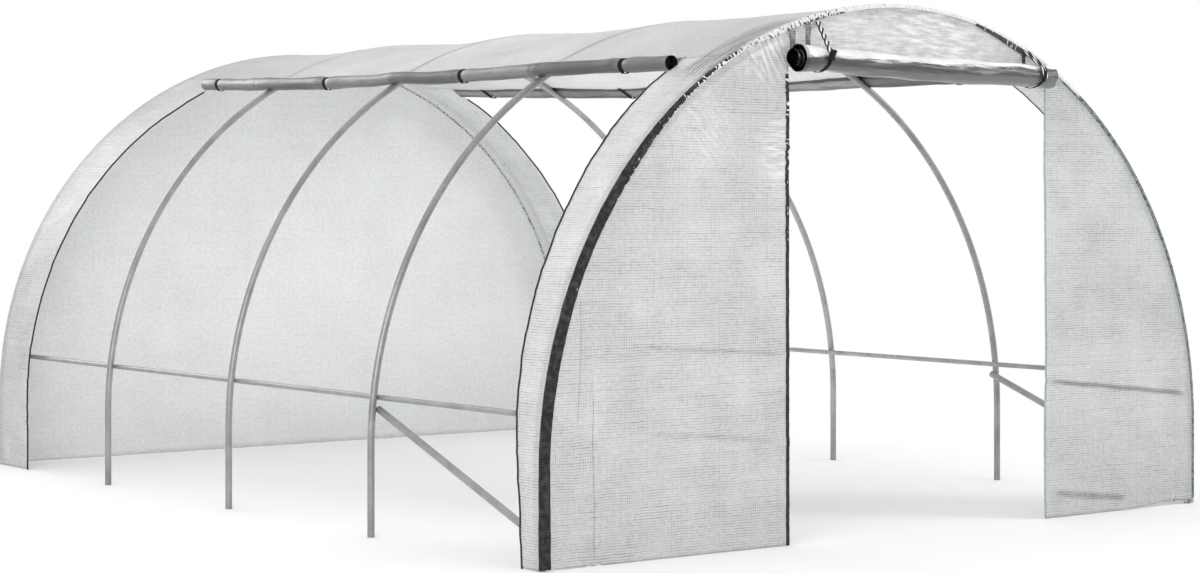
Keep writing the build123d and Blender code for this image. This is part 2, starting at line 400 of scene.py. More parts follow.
        # Each crease paints a dark line of shade on the sheet: along folds, and along the tubes and the rail
        # behind it.
        for *ends, width, strength in self.creases:
            line = near_line(tree, uneven, ends, width)
            line = add(tree, "Math", {0: line, 1: strength}, operation="MULTIPLY")
            mottle_and_painted_shade = add(tree, "Math", {0: mottle_and_painted_shade, 1: line}, operation="ADD")
        if self.bunched:
            bunch = self.bunching(tree, axes, lines)
            mottle_and_painted_shade = add(tree, "Math", {0: mottle_and_painted_shade, 1: bunch}, operation="ADD")
        dark = add(tree, "Math", {0: mesh, 1: mottle_and_painted_shade}, operation="ADD", use_clamp=True)
        colour = add(
            tree, "Mix", {0: dark, 6: linear(self.film), 7: linear(self.thread)}, out=2, data_type="RGBA",
        )
        # Painted highlights: the colour is mixed towards white in streaks where the film is pulled.
        for highlight_spot in self.painted_highlights:
            pale = self.pulls(tree, uneven, highlight_spot)
            colour = add(tree, "Mix", {0: pale, 6: colour, 7: linear("#FFFFFF")}, out=2, data_type="RGBA")
        face = surface(tree, colour, mesh, 0.35, 0.5 * MM, Roughness=self.roughness, IOR=1.5)
        return lit_through(tree, face, colour, self.through)


@dataclass(frozen=True)
class RolledSheet(Finish):
    """The same sheet in many turns: greyer, because no light comes through, with a film's long crinkles.

    The tones go round the roll, from where the sheet leaves the wall, in metres along the sheet. They paint
    light
    and shade: bands of painted highlight and painted shade, painted shade in the crinkles, and dark ends of
    the turns for the shade in the roll's open ends.
    """

    tones: tuple[tuple[float, str], ...] = ((0.0, "#A6A7A8"), (1.0, "#A6A7A8"))
    crinkle_shade_and_thread: str = "#5C5D5F"
    crinkle_shading: float = 0.5
    # The colour painted on the turns' ends, for the shade in the roll's open ends, and how far it reaches.
    edge: str = "#242526"
    dark_end_width: float = 4 * MM
    dark_end_from: float = 0.0
    length: float = 3.48
    seams: tuple[float, ...] = ()
    dark_parts: tuple[tuple[float, float, float], ...] = ()
    slant: float = 0.0
    wander: float = 12 * MM
    banding: float = 0.4
    roughness: float = 0.3

    def shader(self, tree: Tree) -> Socket:
        """Draw the painted light and shade round the roll, the painted crinkle shade and the threads along
        it, its seams and the painted shade in its open ends.
        """
        metres, along, around = flat_place(tree)
        streak = streaks(tree, metres, (9.0, 95.0), 5.0, Roughness=0.66, Distortion=0.6)
        shift = add(tree, "MapRange", {0: streak, 1: 0.2, 2: 0.8, 3: -self.wander, 4: self.wander})
        placed = add(tree, "Math", {0: around, 1: shift}, operation="ADD")
        turned = add(tree, "Math", {0: along, 1: self.slant}, operation="MULTIPLY")
        placed = add(tree, "Math", {0: placed, 1: turned}, operation="SUBTRACT")
        # The tones paint light and shade round the roll: bands of painted highlight and of painted shade.
        colour = linear(self.tones[0][1])
        for (low, _), (high, tone) in zip(self.tones, self.tones[1:]):
            step = add(
                tree, "MapRange", {0: placed, 1: low, 2: high, 3: 0.0, 4: 1.0},
                interpolation_type="SMOOTHSTEP",
            )
            colour = add(tree, "Mix", {0: step, 6: colour, 7: linear(tone)}, out=2, data_type="RGBA")
        # Painted shade in the long crinkles.
        fold = add(tree, "MapRange", {0: streak, 1: 0.5, 2: 0.72, 3: 0.0, 4: self.crinkle_shading})
        colour = add(tree, "Mix", {0: fold, 6: colour, 7: linear(self.crinkle_shade_and_thread)}, out=2, data_type="RGBA")
        band = add(tree, "TexNoise", {"W": along, "Scale": 3.1, "Detail": 1.0}, noise_dimensions="1D")
        band = add(tree, "MapRange", {0: band, 1: 0.45, 2: 0.62, 3: 0.0, 4: self.banding})
        lines = thread_lines(tree, along, 8.9 * MM, 4.0 * MM, 0.8)
        lines = add(tree, "Math", {0: lines, 1: 0.16}, operation="MULTIPLY")
        lines = add(tree, "Math", {0: lines, 1: band}, operation="ADD")
        colour = add(tree, "Mix", {0: lines, 6: colour, 7: linear(self.crinkle_shade_and_thread)}, out=2, data_type="RGBA")
        for start, stop, share in self.dark_parts:
            half = 0.5 * (stop - start)
            inside = soft_band(tree, along, 0.5 * (start + stop), 0.86 * half, half + 0.01, share)
            colour = add(tree, "Mix", {0: inside, 6: colour, 7: linear("#1C1D1E")}, out=2, data_type="RGBA")
        for seam in self.seams:
            near = add(tree, "Math", {0: far_from(tree, along, seam), 1: 3.0 * MM}, operation="LESS_THAN")
            colour = add(tree, "Mix", {0: near, 6: colour, 7: linear("#3C3D3F")}, out=2, data_type="RGBA")
        # The turns' ends, past a place round the roll, are painted dark for the shade in the roll's open
        # ends.
        off = far_from(tree, along, self.length / 2)
        end = add(tree, "Math", {0: off, 1: self.length / 2 - self.dark_end_width}, operation="GREATER_THAN")
        inner = add(tree, "Math", {0: around, 1: self.dark_end_from}, operation="GREATER_THAN")
        darker_part = add(tree, "Math", {0: end, 1: inner}, operation="MULTIPLY")
        colour = add(tree, "Mix", {0: darker_part, 6: colour, 7: linear(self.edge)}, out=2, data_type="RGBA")
        return surface(tree, colour, streak, 0.7, 2.5 * MM, Roughness=self.roughness, IOR=1.5)


@dataclass(frozen=True)
class CrinkledHem(Finish):
    """The sheet's bright hem, gathered over the end hoop: white laminate with dark stitch gaps.

    Dashes of the dark thread show between the gathers, most of them at the left of the crown. Between two
    places along the hem, its lower part shows more dashes. All places along and across the hem are in metres.
    """

    film: str = "#E9EBEB"
    shade: str = "#A4A8A9"
    dash: str = "#222324"
    dashes_from: float = 1.80
    dashes_to: float = 2.5
    most_dashes: float = 0.59
    dark_edge: tuple[float, float, float] = (2.02, 2.32, 9.0)
    edge_level: float = 0.48
    shading: float = 0.8
    through: float = 0.25

    def shader(self, tree: Tree) -> Socket:
        """Draw the crinkled film, its shaded folds and the dashes between the gathers."""
        metres, along, across = flat_place(tree)
        fold = streaks(tree, metres, (95.0, 30.0), 4.0, 0.35, Roughness=0.6)
        shaded = add(tree, "MapRange", {0: fold, 1: 0.5, 2: 0.75, 3: 0.0, 4: self.shading})
        colour = add(
            tree, "Mix", {0: shaded, 6: linear(self.film), 7: linear(self.shade)}, out=2, data_type="RGBA",
        )
        tick = streaks(tree, metres, (130.0, 60.0), 2.0, -0.5)
        off = far_from(tree, along, 0.5 * (self.dashes_from + self.dashes_to))
        reach = 0.5 * (self.dashes_to - self.dashes_from)
        level = add(
            tree, "MapRange", {0: off, 1: 0.6 * reach, 2: 1.25 * reach, 3: self.most_dashes, 4: 0.95},
        )
        start, stop, depth = self.dark_edge
        darker_part = add(tree, "Math", {0: across, 1: depth}, operation="GREATER_THAN")
        for limit, test in ((start, "GREATER_THAN"), (stop, "LESS_THAN")):
            within = add(tree, "Math", {0: along, 1: limit}, operation=test)
            darker_part = add(tree, "Math", {0: darker_part, 1: within}, operation="MULTIPLY")
        level = add(tree, "Mix", {0: darker_part, 2: level, 3: self.edge_level})
        dark = add(tree, "Math", {0: tick, 1: level}, operation="GREATER_THAN")
        colour = add(tree, "Mix", {0: dark, 6: colour, 7: linear(self.dash)}, out=2, data_type="RGBA")
        face = surface(tree, colour, fold, 0.6, 2.0 * MM, Roughness=0.28, IOR=1.5)
        return lit_through(tree, face, colour, self.through)


@dataclass(frozen=True)
class WovenTape(Finish):
    """Black polypropylene tape, woven with fine ribs and dull.

    Where the sheet is gathered over it, bare marks run across the tape. Their share grows between two places
    along it, and from the middle of the tape to its ragged edge, in metres.
    """

    tape: str = "#262627"
    rib: str = "#4A4B4C"
    bare: str = "#DDDEDE"
    rib_pitch: float = 5.0 * MM
    bare_from: float = 9.0
    bare_to: float = 10.0
    most_bare: float = 0.45
    ragged: tuple[float, float, float] = (9.0, 9.1, 0.0)
    mark: tuple[float, float] = (110.0, 14.0)
    roughness: float = 0.75

    def shader(self, tree: Tree) -> Socket:
        """Draw the ribs, the dust on them and the bare marks."""
        metres, along, across = flat_place(tree)
        ribs = thread_lines(tree, along, self.rib_pitch, 0.8 * self.rib_pitch, 0.7)
        dusty = mottled(tree, metres, 45.0, 4.0, 0.45, 0.75, 0.0, 0.6)
        light = add(tree, "Math", {0: ribs, 1: 0.35}, operation="MULTIPLY")
        light = add(tree, "Math", {0: light, 1: dusty}, operation="ADD", use_clamp=True)
        tones = {6: linear(self.tape), 7: linear(self.rib)}
        colour = add(tree, "Mix", {0: light, **tones}, out=2, data_type="RGBA")
        mark = streaks(tree, metres, self.mark, 1.0)
        level = add(tree, "MapRange", {
            0: along, 1: self.bare_from, 2: self.bare_to, 3: 1.0, 4: self.most_bare,
        })
        inner, outer, drop = self.ragged
        frayed = add(tree, "MapRange", {0: across, 1: inner, 2: outer, 3: 0.0, 4: drop})
        level = add(tree, "Math", {0: level, 1: frayed}, operation="SUBTRACT")
        showing = add(tree, "Math", {0: mark, 1: level}, operation="GREATER_THAN")
        colour = add(tree, "Mix", {0: showing, 6: colour, 7: linear(self.bare)}, out=2, data_type="RGBA")
        return surface(tree, colour, ribs, 0.5, 0.5 * MM, Roughness=self.roughness, IOR=1.3)


@dataclass(frozen=True)
class TwistedStrap(Finish):
    """White polyester tie with black woven edges, so that twisting it shows black and white in turn."""

    middle: str = "#EDEDED"
    edge: str = "#101011"
    width: float = 10 * MM
    edge_share: float = 0.33

    def shader(self, tree: Tree) -> Socket:
        """Draw the pale middle, the dark edges and the fine threads."""
        _, along, across = flat_place(tree)
        off = far_from(tree, across, self.width / 2)
        start = self.width * (0.5 - self.edge_share)
        border = add(tree, "MapRange", {0: off, 1: start, 2: start + 0.6 * MM, 3: 0.0, 4: 1.0})
        colour = add(
            tree, "Mix", {0: border, 6: linear(self.middle), 7: linear(self.edge)}, out=2, data_type="RGBA",
        )
        threads = thread_lines(tree, along, 2.0 * MM, 1.4 * MM, 0.5)
        return surface(tree, colour, threads, 0.5, 0.3 * MM, Roughness=0.6, IOR=1.5)


@dataclass(frozen=True)
class GalvanisedTube(Finish):
    """Thin steel tube, zinc coated by the mill: pale grey, half dull and half bright, with faint spangle.

    Its chalky zinc skin scatters much of the light, so it isn't a full metal here.
    """

    zinc: str = "#98999A"
    dull: str = "#737576"
    metallic: float = 0.35
    roughness: float = 0.30
    spangle: float = 14 * MM

    def shader(self, tree: Tree) -> Socket:
        """Draw the spangle and the dull patches of the zinc."""
        place = add(tree, "TexCoord", out=3)
        grain = add(tree, "TexVoronoi", {"Vector": place, "Scale": 1 / self.spangle}, out=1)
        grain = add(tree, "RGBToBW", {0: grain})
        grain = add(tree, "MapRange", {0: grain, 1: 0.0, 2: 1.0, 3: 0.0, 4: 0.3})
        worn = mottled(tree, place, 11.0, 5.0, 0.4, 0.75, 0.0, 0.6)
        tone = add(tree, "Math", {0: grain, 1: worn}, operation="ADD", use_clamp=True)
        tones = {6: linear(self.zinc), 7: linear(self.dull)}
        colour = add(tree, "Mix", {0: tone, **tones}, out=2, data_type="RGBA")
        fine = add(tree, "TexNoise", {"Vector": place, "Scale": 260.0, "Detail": 2.0})
        return surface(
            tree, colour, fine, 0.15, 0.2 * MM, Metallic=self.metallic, Roughness=self.roughness,
        )


@dataclass(frozen=True)
class ZincFixing(Finish):
    """Small zinc-plated steel fixings, brighter and yellower than the tubes, with darker spots."""

    zinc: str = "#B9B7AE"
    grime: str = "#6E6C66"

    def shader(self, tree: Tree) -> Socket:
        """Draw the plating and the grime on it."""
        place = add(tree, "TexCoord", out=3)
        spots = mottled(tree, place, 150.0, 3.0, 0.5, 0.75, 0.0, 0.7)
        tones = {6: linear(self.zinc), 7: linear(self.grime)}
        colour = add(tree, "Mix", {0: spots, **tones}, out=2, data_type="RGBA")
        return add(tree, "BsdfPrincipled", {"Base Color": colour, "Metallic": 0.8, "Roughness": 0.38})


@dataclass(frozen=True)
class Moulding(Finish):
    """Black moulded plastic, slightly shiny, with a fine moulded grain."""

    plastic: str = "#0C0C0D"
    worn: str = "#242426"

    def shader(self, tree: Tree) -> Socket:
        """Draw the plastic and the paler rubbed spots."""
        place = add(tree, "TexCoord", out=3)
        rub = add(tree, "TexNoise", {"Vector": place, "Scale": 120.0, "Detail": 4.0})
        rubbed = add(tree, "MapRange", {0: rub, 1: 0.52, 2: 0.75, 3: 0.0, 4: 0.8})
        colour = add(
            tree, "Mix", {0: rubbed, 6: linear(self.plastic), 7: linear(self.worn)}, out=2, data_type="RGBA",
        )
        return surface(tree, colour, rub, 0.3, 0.3 * MM, Roughness=0.55, IOR=1.3)


@dataclass(frozen=True)
class StudioFloor(Finish):
    """Matt white floor under the object, and pure white farther out, where it meets the background."""

    reach: tuple[float, float] = (2.3, 2.9)
    fade: tuple[float, float] = (0.85, 1.7)

    def shader(self, tree: Tree) -> Socket:
        """Draw the matt part, and the white that the camera, metal and glass see beyond it."""
        place = add(tree, "TexCoord", out=3)
        scaled = add(tree, "Mapping", {
            "Vector": place, "Scale": (1 / self.reach[0], 1 / self.reach[1], 0.0),
        })
        far = add(tree, "VectorMath", {0: scaled}, operation="LENGTH", out=1)
        away = add(
            tree, "MapRange", {0: far, 1: self.fade[0], 2: self.fade[1], 3: 0.0, 4: 1.0},
            interpolation_type="SMOOTHSTEP",
        )
        share = add(tree, "Math", {0: away, 1: seen_plainly(tree)}, operation="MULTIPLY")
        matt = add(tree, "BsdfDiffuse", {"Color": linear("#F7F7F7")})
        white = add(tree, "Emission", {"Color": linear("#FFFFFF"), "Strength": 1.0})
        return add(tree, "MixShader", {0: share, 1: matt, 2: white})


# Shapes


@dataclass(frozen=True)
class Ripples:
    """Smooth unevenness: a sum of waves with seeded directions, lengths and phases."""

    seed: int
    shortest: float
    longest: float
    waves: int = 12

    def at(self, u: Array, v: Array | float = 0.0) -> Array:
        """Height at each place, about from -1 to 1.

        Args:
            u: one coordinate in metres.
            v: the other coordinate in metres.

        Returns:
            The heights, in the shape of u and v.
        """
        draw = np.random.default_rng(self.seed)
        total = np.zeros(np.broadcast(u, v).shape)
        for _ in range(self.waves):
            turn, phase, pick = draw.uniform(0, 2 * math.pi, 3) * (1.0, 1.0, 1 / (2 * math.pi))
            length = self.shortest * (self.longest / self.shortest) ** pick
            total += np.sin(2 * math.pi * (u * math.cos(turn) + v * math.sin(turn)) / length + phase)
        return total / math.sqrt(self.waves)


def smooth(value: Array, low: float, high: float) -> Array:
    """Rise smoothly from 0 at low to 1 at high."""
    part = np.clip((value - low) / (high - low), 0.0, 1.0)
    return part * part * (3 - 2 * part)


def spaced(start: float, end: float, step: float) -> Array:
    """Evenly spaced values from start to end, about step apart."""
    return np.linspace(start, end, max(2, round(abs(end - start) / step) + 1))


def middle_y(node: str) -> float:
    """Where the middle of a node lies along the tunnel."""
    low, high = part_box(node)
    return (low.y + high.y) / 2


@dataclass(frozen=True)
class Tunnel:
    """The tunnel's own form: the outline of its cover, and how the sheet sinks between the hoops."""

    radius: float = 1.5
    leg: float = 0.3
    tube: float = 0.025
    bays: int = 4
    flap: float = 60 * MM
    slant: tuple[tuple[float, float], ...] = (
        (-1.95, -8 * MM), (-0.5, 4 * MM), (0.5, 16 * MM), (1.1, 42 * MM), (1.55, 80 * MM), (2.05, 112 * MM),
    )
    side_depth: float = 3 * MM
    crown_depth: float = 17 * MM
    front_slack: float = 0.45
    front: float = field(default_factory=lambda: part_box("front_wall_left")[0].y)
    rear: float = field(default_factory=lambda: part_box("rear_wall")[1].y)
    first_hoop: float = field(default_factory=lambda: middle_y("hoop_front_crown"))
    last_hoop: float = field(default_factory=lambda: middle_y("hoop_rear_crown"))

    @property
    def roll_angle(self) -> float:
        """How far up the arch the side rolls hang, from the level through the arch's centre."""
        low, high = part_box("side_roll_right")
        return math.atan2((low.z + high.z) / 2 - self.leg, (low.x + high.x) / 2)

    @property
    def girth(self) -> float:
        """Length of the outline from the left foot over the crown to the right foot."""
        return 2 * self.leg + math.pi * self.radius

    @property
    def bay(self) -> float:
        """Distance between two hoops."""
        return (self.last_hoop - self.first_hoop) / self.bays

    @property
    def roll_line(self) -> float:
        """How far along the outline from the left foot the left side roll hangs."""
        return self.leg + self.radius * self.roll_angle

    def raised(self, y: Array) -> Array:
        """How much farther up the slope the side rolls are tied here: less in front, and more to the rear."""
        place, rise = zip(*self.slant)
        return np.interp(y, place, rise)

    def edge_line(self, y: Array) -> Array:
        """Where the roof sheet ends and the left curtain begins, along the outline from the left foot."""
        return self.roll_line + self.flap + self.raised(y)

    def outline(self, s: Array) -> tuple[Array, Array, Array, Array]:
        """Place and outward direction of the outline.

        Args:
            s: metres along the outline from the left foot.

        Returns:
            X, Z, and the outward direction's X and Z.
        """
        turn = np.clip((s - self.leg) / self.radius, 0.0, math.pi)
        out_x, out_z = -np.cos(turn), np.sin(turn)
        below = np.minimum(s, self.leg) + np.minimum(self.girth - s, self.leg) - self.leg
        return self.radius * out_x, below + self.radius * out_z, out_x, out_z

    def sink(self, s: Array, y: Array) -> Array:
        """How far the sheet lies inside the outline: it hangs between the hoops and creases a little."""
        place = (y - self.first_hoop) / self.bay
        part = place - np.floor(place)
        between = (place > 0) & (place < self.bays)
        hang = np.where(between, 4 * part * (1 - part), 0.0) * np.where(place < 1, self.front_slack, 1.0)
        off_hoop = np.where(between, np.minimum(part, 1 - part) * self.bay, 0.0)
        free = smooth(off_hoop, 0.014, 0.09)
        height = np.sin(np.clip((s - self.leg) / self.radius, 0.0, math.pi))
        depth = self.side_depth + (self.crown_depth - self.side_depth) * height ** 2
        broad = Ripples(11, 0.35, 1.1).at(s, 0.6 * y)
        folds = Ripples(12, 0.07, 0.22).at(s, 0.22 * y)
        slack = np.abs(Ripples(13, 0.25, 0.8).at(s + 0.5 * y, s - 0.5 * y))
        pulls = np.clip(0.35 - slack, 0.0, 0.35) / 0.35
        return hang * depth + free * (1.3 * MM * broad + 0.7 * MM * folds - 2.2 * MM * pulls)

    def skin(self, s: Array, y: Array, lift: float | Array = 0.0) -> Array:
        """Points of the sheet's outer face.

        Args:
            s: metres along the outline.
            y: places along the tunnel.
            lift: how far outside the sheet the points lie.

        Returns:
            The points, with X, Y and Z on the last axis.
        """
        x, z, out_x, out_z = self.outline(s)
        away = lift - self.sink(s, y)
        return np.stack([x + away * out_x, y + 0 * s, z + away * out_z], -1)

    def position(self, x: Array, z: Array) -> tuple[Array, Array]:
        """Where a point of an end wall lies: along the outline, and how far inside it."""
        up = z - self.leg
        turn = np.arctan2(np.maximum(up, 0.0), -x)
        flat = np.where(x < 0, z, self.girth - z)
        s = np.where(up > 0, self.leg + self.radius * turn, flat)
        depth = self.radius - np.where(up > 0, np.hypot(x, up), np.abs(x))
        return s, depth

    def top(self, x: Array) -> Array:
        """Height of the outline over a place across the tunnel."""
        return self.leg + np.sqrt(np.maximum(self.radius ** 2 - x ** 2, 0.0))


def area_between(x: Array, low: Array, high: Array) -> float:
    """Area between two lines over the same places, in square metres."""
    gap = high - low
    return float((0.5 * (gap[1:] + gap[:-1]) * np.diff(x)).sum())


def travelled(points: Array) -> Array:
    """Metres along a line of points, from its start."""
    steps = np.linalg.norm(np.diff(points, axis=0), axis=1)
    return np.concatenate([[0.0], np.cumsum(steps)])


def flat_net(along: Array, across: Array) -> Array:
    """The flat places of a net of points, from those of its rows and its columns."""
    return np.stack(np.broadcast_arrays(along[:, None], across[None, :]), -1)


def deselect() -> None:
    """Leave nothing selected, so that an operator acts only on what comes next."""
    bpy.ops.object.select_all(action="DESELECT")


def subdivide(cuts: int) -> None:
    """Cut every edge of the active piece, and leave none of it selected."""
    bpy.ops.object.mode_set(mode="EDIT")
    bpy.ops.mesh.select_all(action="SELECT")
    bpy.ops.mesh.subdivide(number_cuts=cuts)
    bpy.ops.mesh.select_all(action="DESELECT")
    bpy.ops.object.mode_set(mode="OBJECT")


def cloth(name: str, points: Array, metres: Array, turned: bool = False, ring: bool = False) -> Piece:
    """Make a sheet from a net of points.

    Args:
        name: the piece's name.
        points: rows and columns of points.
        metres: the flat place of each point on the cloth, for its pattern; a ring has one column more.
        turned: turn the faces round.
        ring: join the last column to the first, and close both ends.

    Returns:
        The new piece.
    """
    rows, columns = points.shape[:2]
    spans = columns if ring else columns - 1
    row, column = np.meshgrid(np.arange(rows - 1), np.arange(spans), indexing="ij")
    around = ((0, 0), (0, 1), (1, 1), (1, 0))
    corners = [(row + down) * columns + (column + across) % columns for down, across in around]
    quads = np.stack(corners, -1).reshape(-1, 4)
    flat = [metres[row + down, column + across] for down, across in around]
    flat = np.stack(flat, -2).reshape(-1, 4, 2)
    if turned:
        quads, flat = quads[:, ::-1], flat[:, ::-1]
    faces = quads.tolist()
    loops = flat.reshape(-1, 2)
    if ring:
        ends = [list(range(columns))[::-1], list(range((rows - 1) * columns, rows * columns))]
        faces += [end[::-1] for end in ends] if turned else ends
        loops = np.concatenate([loops, np.zeros((2 * columns, 2))])
    mesh = bpy.data.meshes.new(name)
    mesh.from_pydata(points.reshape(-1, 3).tolist(), [], faces)
    layer = mesh.uv_layers.new(name="metres")
    layer.data.foreach_set("uv", loops.astype(np.float32).ravel())
    mesh.shade_smooth()
    made = bpy.data.objects.new(name, mesh)
    bpy.context.scene.collection.objects.link(made)
    return made


def apply_modifier(piece: Piece, kind: str, **settings) -> None:
    """Add a modifier to a piece, set it up and apply it."""
    modifier = piece.modifiers.new(kind.lower(), kind)
    for name, value in settings.items():
        setattr(modifier, name, value)
    deselect()
    bpy.context.view_layer.objects.active = piece
    piece.select_set(True)
    bpy.ops.object.modifier_apply(modifier=modifier.name)
    deselect()


def thicken(piece: Piece, thickness: float, outward: float = -1.0) -> None:
    """Give a sheet its thickness, on the side that its faces look away from."""
    apply_modifier(piece, "SOLIDIFY", thickness=thickness, offset=outward)


def settle(piece: Piece, material: Material, nodes: Sequence[str] = ()) -> Piece:
    """Dress a piece, fix it to the part, and let it stand for its nodes.

    Args:
        piece: the finished piece.
        material: its material.
        nodes: the CAD nodes that it stands for.

    Returns:
        The piece.
    """
    piece.data.materials.clear()
    piece.data.materials.append(material)
    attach(piece, "root")
    if nodes:
        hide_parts(*nodes)
    LOG.info("piece %s: %d faces", piece.name, len(piece.data.polygons))
    return piece


@dataclass
class Cover:
    """The roof sheet and the four strips of it that stay down beside the open sides."""

    tunnel: Tunnel
    finish: Material
    strip_finish: Material
    piping: Material
    thickness: float = 1.0 * MM
    foot_width: float = 0.095
    front_widening: float = 0.035
    rear_widening: float = 0.10
    piping_radius: float = 3.6 * MM

    def area(self, name: str, grid_s: Array, grid_y: Array) -> Piece:
        """Make one area of the cover from a net of places along its outline and along the tunnel."""
        points = self.tunnel.skin(grid_s, grid_y)
        made = cloth(name, points, np.stack([grid_y + MAP_SHIFT, grid_s], -1), turned=True)
        thicken(made, self.thickness)
        return made

    def open_edge(self, end: str, side: Side, s: Array) -> Array:
        """Where a strip's open edge lies along the tunnel. Those with a widening are wider at the top."""
        shape = self.tunnel
        low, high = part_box(f"side_strip_{end}_left")
        _, z, _, _ = shape.outline(s)
        share = z / high.z
        if end == "rear":
            return low.y - (self.rear_widening if side is Side.LEFT else 0.0) * share ** 5
        lean = (high.y - shape.front - self.foot_width) * share
        return shape.front + self.foot_width + lean + self.front_widening * share ** 6

    def roof(self) -> Piece:
        """Make the sheet over the crowns, from one rolled side to the other."""
        shape = self.tunnel
        hoops = shape.first_hoop + shape.bay * np.arange(shape.bays + 1)
        marks = np.concatenate([[shape.front, shape.rear], hoops, hoops[1:] - 0.012, hoops[:-1] + 0.012])
        y = np.unique(np.concatenate([spaced(shape.front, shape.rear, 0.02), marks]).round(5))
        width = shape.girth - 2 * shape.edge_line(y)
        grid_s = shape.edge_line(y) + np.linspace(0, 1, 76)[:, None] * width
        grid_y = np.broadcast_to(y, grid_s.shape)
        made = settle(self.area("roof_sheet", grid_s, grid_y), self.finish, ["roof_cover"])
        return made

    def strips(self) -> None:
        """Make the strips beside the open sides, each with a piping up its open edge."""
        shape = self.tunnel
        share = np.linspace(0, 1, 25)
        rise = np.linspace(0, 1, 160)
        for side in Side:
            for end in ("front", "rear"):
                far = shape.front if end == "front" else shape.rear
                head = float(shape.edge_line(np.array(far)))
                edge_y = self.open_edge(end, side, rise * head)
                s = rise * shape.edge_line(edge_y)
                low, high = np.minimum(edge_y, far), np.maximum(edge_y, far)
                grid_y = low[:, None] + share * (high - low)[:, None]
                grid_s = 2 * MM + rise[:, None] * (shape.edge_line(grid_y) - 2 * MM)
                below = s < shape.roll_line + shape.raised(edge_y) - 0.035
                if side is Side.RIGHT:
                    grid_s, grid_y = shape.girth - grid_s[::-1], grid_y[::-1]
                    s, edge_y, below = shape.girth - s[::-1], edge_y[::-1], below[::-1]
                node = f"side_strip_{end}_{side.word}"
                strip = self.area(f"cover_strip_{end}_{side.word}", grid_s, grid_y)
                settle(strip, self.strip_finish, [node])
                piping = self.edge(f"piping_{end}_{side.word}", s[below], edge_y[below])
                settle(piping, self.piping, [f"side_edging_{end}_{side.word}"])

    def edge(self, name: str, s: Array, y: Array) -> Piece:
        """Make the round black piping in the open edge of a strip, following its small waves."""
        turns = np.linspace(0, 2 * math.pi, 10, endpoint=False)
        sway = 1.2 * MM * Ripples(21, 0.3, 0.9).at(s, y[0])
        centre = self.tunnel.skin(s, y + sway, 0.5 * MM)
        _, _, out_x, out_z = self.tunnel.outline(s)
        outward = np.stack([out_x, 0 * s, out_z], -1)
        along = np.array([0.0, 1.0, 0.0])
        ring = np.cos(turns)[None, :, None] * outward[:, None] + np.sin(turns)[None, :, None] * along
        points = centre[:, None] + self.piping_radius * ring
        metres = flat_net(s, self.piping_radius * np.append(turns, 2 * math.pi))
        return cloth(name, points, metres, ring=True, turned=True)

    def build(self) -> None:
        """Make the whole cover."""
        self.roof()
        self.strips()


